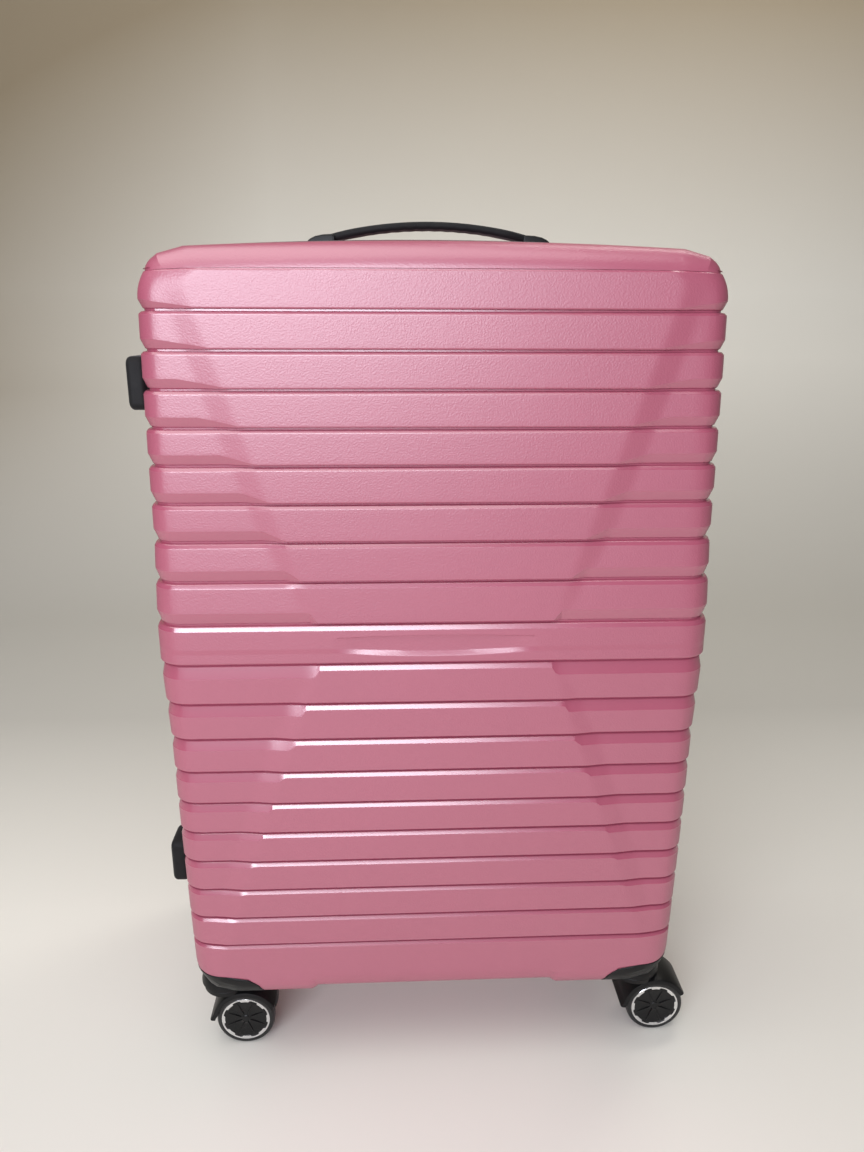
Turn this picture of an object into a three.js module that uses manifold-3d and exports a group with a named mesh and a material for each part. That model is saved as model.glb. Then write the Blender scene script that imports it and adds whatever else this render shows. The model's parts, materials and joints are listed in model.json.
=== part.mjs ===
// A 28-inch hard shell spinner suitcase, in millimetres, +Z up.
// +X is the lock side, -X the hinge side, -Y the front and +Y the back. The seam between the two
// half shells is the plane Y = 0, and the wheels stand on Z = 0.

import * as THREE from 'three';
import { mergeVertices } from 'three/addons/utils/BufferGeometryUtils.js';
import Module from 'manifold-3d';

const wasm = await Module();
wasm.setup();

// Half shells. An inset is measured inwards from the outline at the seam.
const HALF_WIDTH = 242;
const SHELL_BOTTOM = 67;
const SHELL_TOP = 779;
const CROWN_ARCH = 5;
const CORNER_RADIUS = 48;
const CORNER_STEPS = 4;
const CROWN_STEPS = 4;
const HALF_DEPTH = 150;
const EDGE_FILLET = 22;
const EDGE_STEPS = 2;
const DRAFT_INSET = 10;
const SEAM_BAND = 7;
const WALL = 2.2;
const FIT_GAP = 0.35;

// The front half's side walls bow outwards between these heights.
const FRONT_BOW = 8.5;
const BOW_CENTRE_Z = 430;
const BOW_REACH = 355;

// Moulded grooves. They mirror about the middle band.
const MIDDLE_Z = 445;
const MIDDLE_BAND = 36;
const BAND_PITCHES = [37, 34, 32, 31, 30, 30, 30, 30];
const CROWN_GROOVE_PITCH = 30;
const GROOVE_DEPTH = 2.2;
const GROOVE_HALF_WIDTH = 3.5;
const GROOVE_FADE = 14;

// Casters
const CASTER_X = 210;
const CASTER_Y = 100;
const CASTER_TRAIL = 19.5;
const WHEEL_RADIUS = 29;
const WHEEL_WIDTH = 14;
const WHEEL_OFFSET = 14;
const WHEEL_SIDES = 20;
const HOOD_INNER_RADIUS = 30.8;
const HOOD_OUTER_RADIUS = 33.4;
const HOOD_HALF_WIDTH = 21.5;
const HOOD_TOP = WHEEL_RADIUS + HOOD_OUTER_RADIUS;
const TURNTABLE_TOP = 65.4;
const TURNTABLE_RADIUS = 23;
const STEM_RADIUS = 8;
const STEM_TOP = 86;
const AXLE_RADIUS = 3;
const SEAT_RADIUS = 25;
const SEAT_TOP = 80;

// Side feet
const FOOT_FACE_X = 251;
const FOOT_LENGTH = 22;
const FOOT_Y = 100;
const FOOT_HALF_DEPTH = 18;
const FOOT_HALF_HEIGHT = 21.5;
const FOOT_CHAMFER = 5;
const FOOT_CENTRES_Z = { upper: 660, lower: 213 };

// Carry handles, in their own frame: X along the grip, Z away from the shell
const GRIP_HALF_LENGTH = 105;
const GRIP_RISE = 14.5;
const GRIP_THICKNESS = 7;
const GRIP_END_Z = 6;
const GRIP_HALF_WIDTH = 12;
const TANG_HALF_WIDTH = 8;
const TANG_BOTTOM = -13;
const CAP_INNER_X = 88;
const CAP_OUTER_X = 113;
const CAP_HALF_WIDTH = 14;
const SOCKET_BOTTOM = -16.5;
const TOP_HANDLE_Y = 27;
const SIDE_HANDLE_Y = 70;
const SIDE_HANDLE_Z = 425;

// Telescopic handle
const TUBE_X = 70;
const TROLLEY_Y = 108;
const TUBE_BOTTOM = 96;
const BEZEL_TOP = 774;
const BEZEL_BOTTOM = 742;
const BEZEL_FLOOR = 755;
const BEZEL_HALF_LENGTH = 118;
const BEZEL_HALF_WIDTH = 18.5;
const GRIP_BOTTOM = 756;
const GRIP_TOP = 776;

// Combination lock and zip pulls
const LOCK_Z = 600;
const LOCK_HALF_HEIGHT = 38;
const RELEASE_DROP = 26;
const KEY_RISE = 27;
const LOCK_Y = [10, 46];
const LOCK_X = [227, 250];
const DIAL_X = 242.8;
const DIAL_Y = 35;
const DIAL_RADIUS = 8;
const DIAL_PITCH = 8;
const PULL_Z = 16;

const PINK = { color: 0xd77c90, roughness: 0.42, metalness: 0 };
const BLACK_PLASTIC = { color: 0x17171a, roughness: 0.5, metalness: 0 };
const BLACK_TAPE = { color: 0x141416, roughness: 0.9, metalness: 0 };
const BLACK_RUBBER = { color: 0x101012, roughness: 0.75, metalness: 0 };
const LINING_CLOTH = { color: 0x55565c, roughness: 0.85, metalness: 0 };
const WEBBING = { color: 0x1b1b1f, roughness: 0.9, metalness: 0 };
const ALUMINIUM = { color: 0xb9bcc2, roughness: 0.32, metalness: 1 };
const STEEL = { color: 0xc4c6ca, roughness: 0.25, metalness: 1 };
const TYRE = { color: 0x1c1c1f, roughness: 0.7, metalness: 0 };

const suitcase = new THREE.Group();

// ---------------------------------------------------------------- helpers

function add(name, geometry, finish, parent = suitcase) {
  const mesh = new THREE.Mesh(geometry, new THREE.MeshStandardMaterial(finish));
  mesh.name = name;
  parent.add(mesh);
  return mesh;
}

function solid(geometry) {
  const bare = geometry.clone();
  bare.deleteAttribute('normal');
  bare.deleteAttribute('uv');
  const merged = mergeVertices(bare, 1e-4);
  return new wasm.Manifold(new wasm.Mesh({
    numProp: 3,
    vertProperties: new Float32Array(merged.attributes.position.array),
    triVerts: new Uint32Array(merged.index.array),
  }));
}

function geometryOf(manifold) {
  const { vertProperties, triVerts } = manifold.getMesh();
  const geometry = new THREE.BufferGeometry();
  geometry.setAttribute('position', new THREE.BufferAttribute(vertProperties, 3));
  geometry.setIndex(new THREE.BufferAttribute(triVerts, 1));
  geometry.computeVertexNormals();
  return geometry;
}

function box([x0, x1], [y0, y1], [z0, z1]) {
  const geometry = new THREE.BoxGeometry(x1 - x0, y1 - y0, z1 - z0);
  return geometry.translate((x0 + x1) / 2, (y0 + y1) / 2, (z0 + z1) / 2);
}

// An upright cylinder from z0 to z1.
function post(radius, x, y, [z0, z1], sides = 18) {
  const geometry = new THREE.CylinderGeometry(radius, radius, z1 - z0, sides);
  return geometry.rotateX(Math.PI / 2).translate(x, y, (z0 + z1) / 2);
}

// A cylinder along Y from y0 to y1.
function pin(radius, x, z, [y0, y1], sides = 18) {
  const geometry = new THREE.CylinderGeometry(radius, radius, y1 - y0, sides);
  return geometry.translate(x, (y0 + y1) / 2, z);
}

// A prism along Y whose section is a list of [x, z] points.
function prism(points, [y0, y1]) {
  const shape = new THREE.Shape(points.map(([x, z]) => new THREE.Vector2(x, z)));
  const geometry = new THREE.ExtrudeGeometry(shape, { depth: y1 - y0, bevelEnabled: false });
  return geometry.rotateX(Math.PI / 2).translate(0, y1, 0);
}

function span(centre, half) {
  return [centre - half, centre + half];
}

function mirrored([a, b], side) {
  return side > 0 ? [a, b] : [-b, -a];
}

// ---------------------------------------------------------------- half shells

function grooveCentres() {
  const centres = [];
  let offset = MIDDLE_BAND / 2;
  centres.push(offset);
  for (const pitch of BAND_PITCHES) {
    offset += pitch;
    centres.push(offset);
  }
  return centres;
}

// Heights of the side stations from top to bottom, each with its share of the groove depth.
function grooveRows() {
  const centres = grooveCentres();
  const lowest = centres[centres.length - 1] + CROWN_GROOVE_PITCH;
  const heights = [...centres.map((z) => MIDDLE_Z + z).reverse(), ...centres.map((z) => MIDDLE_Z - z)];
  heights.push(MIDDLE_Z - lowest);
  const rows = [];
  for (const z of heights) {
    rows.push({ z: z + GROOVE_HALF_WIDTH, cut: 0 }, { z, cut: 1 }, { z: z - GROOVE_HALF_WIDTH, cut: 0 });
  }
  return rows;
}

// The right-hand half of a shell outline from the crown down to the bottom edge.
function outlineStations(inset, rows) {
  const radius = CORNER_RADIUS - inset;
  const x = HALF_WIDTH - CORNER_RADIUS;
  const upper = SHELL_TOP - CROWN_ARCH - CORNER_RADIUS;
  const lower = SHELL_BOTTOM + CORNER_RADIUS;
  const arc = (centre, from) => Array.from({ length: CORNER_STEPS + 1 }, (_, i) => {
    const angle = from - (i / CORNER_STEPS) * (Math.PI / 2);
    return { x: x + radius * Math.cos(angle), z: centre + radius * Math.sin(angle), cut: 0 };
  });
  const sides = rows.map(({ z, cut }) => ({ x: HALF_WIDTH - inset, z, cut }));
  return [...arc(upper, Math.PI / 2), ...sides, ...arc(lower, 0)];
}

// A point of the front half moved out by the bow of its side wall, which is nothing at the seam.
function bowed([x, y, z]) {
  const height = Math.min(1, Math.abs(z - BOW_CENTRE_Z) / BOW_REACH);
  const share = THREE.MathUtils.clamp((-y - SEAM_BAND) / (HALF_DEPTH - EDGE_FILLET - SEAM_BAND), 0, 1);
  return [x + FRONT_BOW * (1 - height * height) * share * (x / HALF_WIDTH) ** 3, y, z];
}

// One closed ring of [x, y, z] points: right side down, left side up, then the arched crown.
function shellRing({ inset, y, lean, groove }, rows, side) {
  const right = outlineStations(inset, rows).map(({ x, z, cut }) => {
    const depth = cut * groove * GROOVE_DEPTH;
    return bowed([x - depth * Math.cos(lean), side * (y - depth * Math.sin(lean)), z]);
  });
  const left = right.map(([x, depth, z]) => [-x, depth, z]).reverse();
  const reach = HALF_WIDTH - CORNER_RADIUS;
  const crown = [];
  for (let i = 1; i < CROWN_STEPS; i++) {
    const across = -1 + (2 * i) / CROWN_STEPS;
    const rise = CROWN_ARCH * (1 - across * across);
    crown.push([reach * across, side * y, SHELL_TOP - CROWN_ARCH - inset + rise]);
  }
  return { points: [...right, ...left, ...crown], stations: right.length };
}

// Rings from the seam over the drafted wall and the rounded edge to the flat face.
function shellProfile(offset, start) {
  const wallEnd = HALF_DEPTH - EDGE_FILLET;
  const wallInset = (y) => offset + DRAFT_INSET * (y - SEAM_BAND) / (wallEnd - SEAM_BAND);
  const fade = SEAM_BAND + GROOVE_FADE;
  const rings = [
    { inset: wallInset(start), y: start, lean: 0, groove: 0 },
    { inset: wallInset(fade), y: fade, lean: 0, groove: 1 },
  ];
  const radius = EDGE_FILLET - offset;
  for (let i = 0; i <= EDGE_STEPS; i++) {
    const lean = (i / EDGE_STEPS) * (Math.PI / 2);
    const inset = DRAFT_INSET + EDGE_FILLET - radius * Math.cos(lean);
    rings.push({ inset, y: wallEnd + radius * Math.sin(lean), lean, groove: 1 });
  }
  return rings;
}

// The solid enclosed by a half shell whose surface lies `offset` inside the outer surface.
// side is -1 for the front half and +1 for the rear half.
function shellVolume(side, { offset = 0, start = SEAM_BAND, grooved = false } = {}) {
  const rows = grooved ? grooveRows() : [];
  const rings = shellProfile(offset, start).map((ring) => shellRing(ring, rows, side));
  const count = rings[0].points.length;
  const stations = rings[0].stations;
  const triangles = [];
  const face = (a, b, c) => triangles.push(...(side > 0 ? [a, b, c] : [a, c, b]));
  const quad = (a, b, c, d) => {
    face(a, b, c);
    face(a, c, d);
  };
  for (let k = 0; k + 1 < rings.length; k++) {
    for (let i = 0; i < count; i++) {
      const next = (i + 1) % count;
      quad(k * count + i, k * count + next, (k + 1) * count + next, (k + 1) * count + i);
    }
  }
  closeEnd(0, stations, count, (a, b, c) => face(a, c, b));
  closeEnd((rings.length - 1) * count, stations, count, face);
  const geometry = new THREE.BufferGeometry();
  const positions = rings.flatMap(({ points }) => points.flat());
  geometry.setAttribute('position', new THREE.BufferAttribute(new Float32Array(positions), 3));
  geometry.setIndex(triangles);
  return solid(geometry);
}

// Level strips join the right and left stations of one ring, and a fan closes the crown.
function closeEnd(base, stations, count, face) {
  const right = (i) => base + i;
  const left = (i) => base + 2 * stations - 1 - i;
  for (let i = 0; i + 1 < stations; i++) {
    face(right(i), right(i + 1), left(i + 1));
    face(right(i), left(i + 1), left(i));
  }
  let previous = left(0);
  for (let i = 2 * stations; i < count; i++) {
    face(right(0), previous, base + i);
    previous = base + i;
  }
}

// The groove under the crown runs straight across the top of the flat face.
function crownGroove(side) {
  const centres = grooveCentres();
  const z = MIDDLE_Z + centres[centres.length - 1] + CROWN_GROOVE_PITCH;
  const shape = new THREE.Shape([
    new THREE.Vector2(GROOVE_DEPTH, -GROOVE_HALF_WIDTH * 2),
    new THREE.Vector2(GROOVE_DEPTH, GROOVE_HALF_WIDTH * 2),
    new THREE.Vector2(-GROOVE_DEPTH, 0),
  ]);
  const geometry = new THREE.ExtrudeGeometry(shape, { depth: 2 * HALF_WIDTH, bevelEnabled: false });
  geometry.rotateX(Math.PI / 2).rotateZ(Math.PI / 2);
  geometry.translate(-HALF_WIDTH, HALF_DEPTH, z);
  return solid(side > 0 ? geometry : geometry.rotateZ(Math.PI));
}

// ---------------------------------------------------------------- spaces cut through the shells

// The black corner housing shows below this line across the lower corner of a shell.
const CORNER_LINE = [[165, 88], [169, 97], [178, 104], [198, 108], [225, 110], [262, 112]];

function cornerSpace(sideX, sideY, grow = 0) {
  const line = CORNER_LINE.map(([x, z]) => [x - grow, z + grow]);
  const outline = [[CORNER_LINE[0][0] - grow, 60], ...line, [262, 60]];
  return solid(prism(outline.map(([x, z]) => [sideX * x, z]), mirrored([52 - grow, 160], sideY)));
}

function handleSockets(grow) {
  const across = span(0, CAP_HALF_WIDTH - 3 + grow);
  const high = [SOCKET_BOTTOM - grow, 20];
  const along = [CAP_INNER_X + 2 - grow, CAP_OUTER_X - 3 + grow];
  return [-1, 1].map((end) => box(mirrored(along, end), across, high));
}

// Carry handle geometry goes on the crown or, turned on its side, on the lock side.
function onCrown(geometry) {
  return geometry.translate(0, TOP_HANDLE_Y, SHELL_TOP - 2);
}

function onSide(geometry) {
  return geometry.rotateY(Math.PI / 2).translate(HALF_WIDTH - 5.2, SIDE_HANDLE_Y, SIDE_HANDLE_Z);
}

function lockSpace(grow) {
  const [y0, y1] = LOCK_Y;
  return solid(box([LOCK_X[0] - grow, 262], [y0 - grow, y1 + grow], span(LOCK_Z, LOCK_HALF_HEIGHT + grow)));
}

function bezelSpace(grow) {
  const along = span(0, BEZEL_HALF_LENGTH + grow);
  return solid(box(along, span(TROLLEY_Y, BEZEL_HALF_WIDTH + grow), [BEZEL_BOTTOM - grow, 790]));
}

function tubeSpace(grow) {
  const along = span(0, TUBE_X + 16 + grow);
  return solid(box(along, [TROLLEY_Y - 9.5 - grow, HALF_DEPTH], [TUBE_BOTTOM - 6 - grow, BEZEL_BOTTOM]));
}

function rearSpaces(grow) {
  return [
    cornerSpace(-1, 1, grow), cornerSpace(1, 1, grow), bezelSpace(grow), lockSpace(grow),
    ...handleSockets(grow).map((geometry) => solid(onCrown(geometry))),
    ...handleSockets(grow).map((geometry) => solid(onSide(geometry))),
  ];
}

function frontSpaces(grow) {
  return [cornerSpace(-1, -1, grow), cornerSpace(1, -1, grow)];
}

function rearLiningSpaces(grow) {
  return [...rearSpaces(grow), tubeSpace(grow)];
}

function without(body, cuts) {
  return cuts.reduce((rest, cut) => rest.subtract(cut), body);
}

function halfShell(side, spaces) {
  const outer = shellVolume(side, { grooved: true }).subtract(crownGroove(side));
  const inner = shellVolume(side, { offset: WALL, start: SEAM_BAND - 1, grooved: true });
  return geometryOf(without(outer.subtract(inner), spaces));
}

// The cloth lining clears every fitting that comes through the wall, and covers it with a bulge.
function lining(side, spacesAt) {
  const outer = shellVolume(side, { offset: WALL + 2.4, start: 9 });
  const inner = shellVolume(side, { offset: WALL + 3.6, start: 8 });
  const cover = without(inner, spacesAt(2 * FIT_GAP + 1.2));
  return geometryOf(without(outer.subtract(cover), spacesAt(2 * FIT_GAP)));
}

// A flat band round the mouth of a half shell, which carries one half of the zip.
function zipTape(side) {
  const ring = (offset, start, end) => {
    const slab = solid(box([-300, 300], mirrored([start, end], side), [0, 800]));
    return shellVolume(side, { offset, start }).intersect(slab);
  };
  return geometryOf(ring(-1.8, 0.3, SEAM_BAND - 0.3).subtract(ring(4.4, 0.1, SEAM_BAND)));
}

add('front_shell', halfShell(-1, frontSpaces(FIT_GAP)), PINK);
add('rear_shell', halfShell(1, rearSpaces(FIT_GAP)), PINK);
add('front_zip_tape', zipTape(-1), BLACK_TAPE);
add('rear_zip_tape', zipTape(1), BLACK_TAPE);
add('front_lining', lining(-1, frontSpaces), LINING_CLOTH);
add('rear_lining', lining(1, rearLiningSpaces), LINING_CLOTH);
add('hinge_strip', box([-(HALF_WIDTH - 7.4), -(HALF_WIDTH - 8.6)], [-14, 14], [150, 700]), BLACK_TAPE);

// ---------------------------------------------------------------- corner housings and casters

function cornerHousing(sideX, sideY) {
  const outer = shellVolume(sideY);
  const skin = outer.subtract(shellVolume(sideY, { offset: 3.2, start: SEAM_BAND - 1 }));
  const [x, y] = [sideX * CASTER_X, sideY * CASTER_Y];
  const seat = solid(post(SEAT_RADIUS, x, y, [TURNTABLE_TOP + 0.4, SEAT_TOP], 24));
  const boss = solid(post(13, x, y, [TURNTABLE_TOP + 0.4, STEM_TOP + 2]));
  const bore = solid(post(STEM_RADIUS + 0.5, x, y, [50, 110]));
  return geometryOf(skin.intersect(cornerSpace(sideX, sideY)).add(seat).add(boss).subtract(bore));
}

// Points on an arc about the wheel's axis, in the yoke's frame.
function wheelArc(radius, from, to, steps) {
  return Array.from({ length: steps + 1 }, (_, i) => {
    const angle = THREE.MathUtils.degToRad(from + (to - from) * (i / steps));
    return [CASTER_TRAIL + radius * Math.cos(angle), WHEEL_RADIUS + radius * Math.sin(angle)];
  });
}

// The yoke in its own frame: swivel axis on Z, wheels trailing towards +X.
function casterYoke() {
  const band = [...wheelArc(HOOD_OUTER_RADIUS, 40, 188, 9), ...wheelArc(HOOD_INNER_RADIUS, 188, 40, 9)];
  const hood = solid(prism(band, span(0, HOOD_HALF_WIDTH)));
  const crown = solid(post(TURNTABLE_RADIUS, 0, 0, [HOOD_TOP - 2, TURNTABLE_TOP], 24));
  const wheelRoom = [-1, 1].map((end) => solid(pin(HOOD_INNER_RADIUS, CASTER_TRAIL, WHEEL_RADIUS,
    mirrored([5, 30], end))));
  const cheek = [...wheelArc(HOOD_INNER_RADIUS + 1, 55, 185, 6), ...wheelArc(9, 185, 415, 6)];
  const web = solid(prism(cheek, span(0, 4.6)));
  const stem = solid(post(STEM_RADIUS, 0, 0, [HOOD_TOP - 2, STEM_TOP]));
  const bore = solid(pin(AXLE_RADIUS + 0.35, CASTER_TRAIL, WHEEL_RADIUS, span(0, 10)));
  return geometryOf(without(hood.add(crown), wheelRoom).add(web).add(stem).subtract(bore));
}

// A wheel with flats, one of them on the ground, and a dished outer face. Its axis is Y.
function casterWheel(outward) {
  const rim = WHEEL_RADIUS / Math.cos(Math.PI / WHEEL_SIDES);
  const half = WHEEL_WIDTH / 2;
  const bore = AXLE_RADIUS + 0.4;
  const profile = [
    [bore, -half], [rim - 2.5, -half], [rim, -half + 3], [rim, half - 3], [rim - 3, half],
    [rim - 9, half - 1.5], [bore, half - 1.5], [bore, -half],
  ].map(([radius, along]) => new THREE.Vector2(radius, along * outward));
  if (outward < 0) {
    profile.reverse();
  }
  return new THREE.LatheGeometry(profile, WHEEL_SIDES).rotateY(Math.PI / WHEEL_SIDES);
}

for (const [where, sideY] of [['front', -1], ['rear', 1]]) {
  for (const [hand, sideX] of [['left', -1], ['right', 1]]) {
    add(`corner_housing_${where}_${hand}`, cornerHousing(sideX, sideY), BLACK_PLASTIC);
    const caster = new THREE.Group();
    caster.position.set(sideX * CASTER_X, sideY * CASTER_Y, 0);
    suitcase.add(caster);
    add(`caster_yoke_${where}_${hand}`, casterYoke(), BLACK_PLASTIC, caster);
    const axle = add(`caster_axle_${where}_${hand}`, pin(AXLE_RADIUS, 0, 0, span(0, 20)), STEEL, caster);
    axle.position.set(CASTER_TRAIL, 0, WHEEL_RADIUS);
    for (const [face, outward] of [['outer', sideY], ['inner', -sideY]]) {
      const wheel = add(`wheel_${where}_${hand}_${face}`, casterWheel(outward), TYRE, caster);
      wheel.position.set(CASTER_TRAIL, outward * (WHEEL_OFFSET - 1), WHEEL_RADIUS);
    }
  }
}

// ---------------------------------------------------------------- side feet

function sideFoot(sideY, z) {
  const root = FOOT_FACE_X - FOOT_LENGTH;
  const shoulder = FOOT_FACE_X - 2 * FOOT_CHAMFER;
  const [low, high] = span(z, FOOT_HALF_HEIGHT);
  const section = [
    [root, low], [shoulder, low], [FOOT_FACE_X, low + FOOT_CHAMFER],
    [FOOT_FACE_X, high - FOOT_CHAMFER], [shoulder, high], [root, high],
  ];
  const outline = section.map(([x, height]) => [-x, height]);
  const block = solid(prism(outline, span(sideY * FOOT_Y, FOOT_HALF_DEPTH)));
  return geometryOf(block.subtract(shellVolume(sideY, { offset: -FIT_GAP, grooved: sideY < 0 })));
}

for (const [where, sideY] of [['front', -1], ['rear', 1]]) {
  for (const [level, z] of Object.entries(FOOT_CENTRES_Z)) {
    add(`side_foot_${where}_${level}`, sideFoot(sideY, z), BLACK_RUBBER);
  }
}

// ---------------------------------------------------------------- carry handles

// The grip is an arched bar whose two tangs slide in the caps.
function carryGrip() {
  const radius = (GRIP_HALF_LENGTH ** 2 + GRIP_RISE ** 2) / (2 * GRIP_RISE);
  const centre = GRIP_END_Z + GRIP_RISE - radius;
  const edge = (r, reach) => Array.from({ length: 11 }, (_, i) => {
    const x = reach * (1 - i / 5);
    return [x, centre + Math.sqrt(r * r - x * x)];
  });
  const bow = (reach, half) => {
    const under = edge(radius - GRIP_THICKNESS, reach).reverse();
    return solid(prism([...edge(radius, reach), ...under], span(0, half)));
  };
  const tangs = [-1, 1].map((end) => solid(box(mirrored([GRIP_HALF_LENGTH - 6, GRIP_HALF_LENGTH], end),
    span(0, TANG_HALF_WIDTH), [TANG_BOTTOM, GRIP_END_Z - 1])));
  const bar = bow(GRIP_HALF_LENGTH, TANG_HALF_WIDTH).add(bow(CAP_INNER_X - 4, GRIP_HALF_WIDTH));
  return geometryOf(bar.add(tangs[0]).add(tangs[1]));
}

// A cap's raised cheeks, and the two cuts that the end of the grip drops into.
function gripCap(end) {
  const ramp = [[CAP_INNER_X, -4], [CAP_INNER_X, 9], [CAP_OUTER_X - 8, 7], [CAP_OUTER_X, 2], [CAP_OUTER_X, -4]];
  const cheeks = prism(ramp.map(([x, z]) => [end * x, z]), span(0, CAP_HALF_WIDTH));
  const across = span(0, TANG_HALF_WIDTH + 0.5);
  const slot = box(mirrored([CAP_INNER_X - 5, GRIP_HALF_LENGTH + 0.8], end), across, [-1.2, 20]);
  const along = mirrored([GRIP_HALF_LENGTH - 7, GRIP_HALF_LENGTH + 0.8], end);
  const well = box(along, across, [TANG_BOTTOM - 1, 20]);
  return { cheeks, slot, well };
}

function carryHandle(name, place, ends) {
  const shell = shellVolume(1, { offset: -FIT_GAP });
  const above = solid(place(box([-200, 200], [-50, 50], [2, 50])));
  const sockets = handleSockets(0);
  [-1, 1].forEach((end, index) => {
    const [cheeks, slot, well] = Object.values(gripCap(end)).map((geometry) => solid(place(geometry)));
    const socket = solid(place(sockets[index])).subtract(above);
    const cap = cheeks.subtract(shell).add(socket).subtract(slot).subtract(well);
    add(`${name}_cap_${ends[index]}`, geometryOf(cap), BLACK_PLASTIC);
  });
  add(`${name}_grip`, place(carryGrip()), BLACK_RUBBER);
}

carryHandle('top_handle', onCrown, ['left', 'right']);
carryHandle('side_handle', onSide, ['upper', 'lower']);

// ---------------------------------------------------------------- telescopic handle

function tube(x, [width, depth], wall, [z0, z1]) {
  const outer = solid(box(span(x, width / 2), span(TROLLEY_Y, depth / 2), [z0, z1]));
  const inner = box(span(x, width / 2 - wall), span(TROLLEY_Y, depth / 2 - wall), [z0 + 2, z1 + 1]);
  return geometryOf(outer.subtract(solid(inner)));
}

function trolleyBezel() {
  const pocket = box(span(0, BEZEL_HALF_LENGTH - 14), span(TROLLEY_Y, BEZEL_HALF_WIDTH - 4), [BEZEL_FLOOR, 800]);
  const holes = [-TUBE_X, TUBE_X].map((x) => solid(box(span(x, 11.2), span(TROLLEY_Y, 6.2), [700, 800])));
  const body = box(span(0, BEZEL_HALF_LENGTH), span(TROLLEY_Y, BEZEL_HALF_WIDTH), [BEZEL_BOTTOM, BEZEL_TOP]);
  return geometryOf(without(solid(body), [solid(pocket), ...holes]));
}

function trolleyGrip() {
  const bar = solid(box([-100, 100], span(TROLLEY_Y, 12), [GRIP_BOTTOM, GRIP_TOP]));
  return geometryOf(bar.subtract(solid(box([-17.5, 17.5], span(TROLLEY_Y, 5), [769.6, 800]))));
}

for (const [hand, x] of [['left', -TUBE_X], ['right', TUBE_X]]) {
  add(`outer_tube_${hand}`, tube(x, [24, 14], 1.1, [TUBE_BOTTOM - 4, BEZEL_BOTTOM - 0.4]), ALUMINIUM);
  add(`mid_tube_${hand}`, tube(x, [21, 11], 1, [TUBE_BOTTOM, BEZEL_FLOOR]), ALUMINIUM);
  add(`inner_tube_${hand}`, tube(x, [18.2, 8.2], 0.9, [TUBE_BOTTOM + 4, GRIP_BOTTOM - 0.3]), ALUMINIUM);
}
add('trolley_bezel', trolleyBezel(), BLACK_PLASTIC);
add('trolley_grip', trolleyGrip(), BLACK_PLASTIC);
add('trolley_button', box([-17, 17], span(TROLLEY_Y, 4.5), [773.2, GRIP_TOP + 1]), BLACK_PLASTIC);

// ---------------------------------------------------------------- combination lock

// A cylinder along X at the lock's dial line.
function lockBarrel(radius, [x0, x1], z) {
  const geometry = pin(radius, 0, 0, [x0, x1]).rotateZ(-Math.PI / 2);
  return solid(geometry.translate(0, DIAL_Y, z));
}

function lockBody() {
  const shaft = solid(post(2, DIAL_X, DIAL_Y, span(LOCK_Z, 16), 12));
  const windows = [-1, 0, 1].map((i) => solid(box([DIAL_X - 8.6, 260], span(DIAL_Y, 8.6),
    span(LOCK_Z + i * DIAL_PITCH, 3.2))));
  const press = solid(box([240, 260], span(DIAL_Y, 6.5), span(LOCK_Z - RELEASE_DROP, 6.5)));
  const body = solid(box(LOCK_X, LOCK_Y, span(LOCK_Z, LOCK_HALF_HEIGHT)));
  return geometryOf(without(body, [...windows, press, lockBarrel(5.4, [236, 260], LOCK_Z + KEY_RISE)]).add(shaft));
}

function lockDial(z) {
  const disc = solid(post(DIAL_RADIUS, DIAL_X, DIAL_Y, span(z, 2.7), 16));
  return geometryOf(disc.subtract(solid(post(2.5, DIAL_X, DIAL_Y, span(z, 5), 12))));
}

function keyCylinder() {
  const slot = solid(box([245, 260], span(DIAL_Y, 0.6), span(LOCK_Z + KEY_RISE, 3)));
  return geometryOf(lockBarrel(5, [236.5, 250.4], LOCK_Z + KEY_RISE).subtract(slot));
}

add('lock_body', lockBody(), BLACK_PLASTIC);
for (const number of [1, 2, 3]) {
  add(`lock_dial_${number}`, lockDial(LOCK_Z + (2 - number) * DIAL_PITCH), BLACK_PLASTIC);
}
add('lock_release', box([243.5, 250.3], span(DIAL_Y, 6), span(LOCK_Z - RELEASE_DROP, 6)), BLACK_PLASTIC);
add('key_cylinder', keyCylinder(), STEEL);

// ---------------------------------------------------------------- zip sliders and pulls

function zipSlider(z) {
  const body = solid(box([244.7, 248.4], span(0, 6), span(z, 8)));
  const lugs = [[z - 6.6, z - 4.3], [z + 4.3, z + 6.6]].map((high) => solid(box([248, 252.6], [2.4, 6], high)));
  return geometryOf(body.add(lugs[0]).add(lugs[1]));
}

function zipPull(z) {
  const eye = solid(post(1.4, 251.3, 4.2, span(z, 3.9), 12));
  return geometryOf(eye.add(solid(box([250.6, 252], [4.2, 38], span(z, 3.9)))));
}

for (const [level, z] of [['upper', LOCK_Z + PULL_Z], ['lower', LOCK_Z - PULL_Z]]) {
  add(`zip_slider_${level}`, zipSlider(z), STEEL);
  add(`zip_pull_${level}`, zipPull(z), BLACK_PLASTIC);
}

// ---------------------------------------------------------------- packing straps

const STRAP_Y = [14, 15.6];
const STRAP_Z = 425;

function buckleSocket() {
  const body = solid(box([-6, 30.6], [10, 20], span(STRAP_Z, 17)));
  return geometryOf(body.subtract(solid(box([-8, 22], [12.4, 17.6], span(STRAP_Z, 12.5)))));
}

function buckleTongue() {
  const bar = solid(box([-30.6, -6.4], [11, 19], span(STRAP_Z, 17)));
  return geometryOf(bar.add(solid(box([-7, 20], [12.8, 17.2], span(STRAP_Z, 12)))));
}

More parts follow.
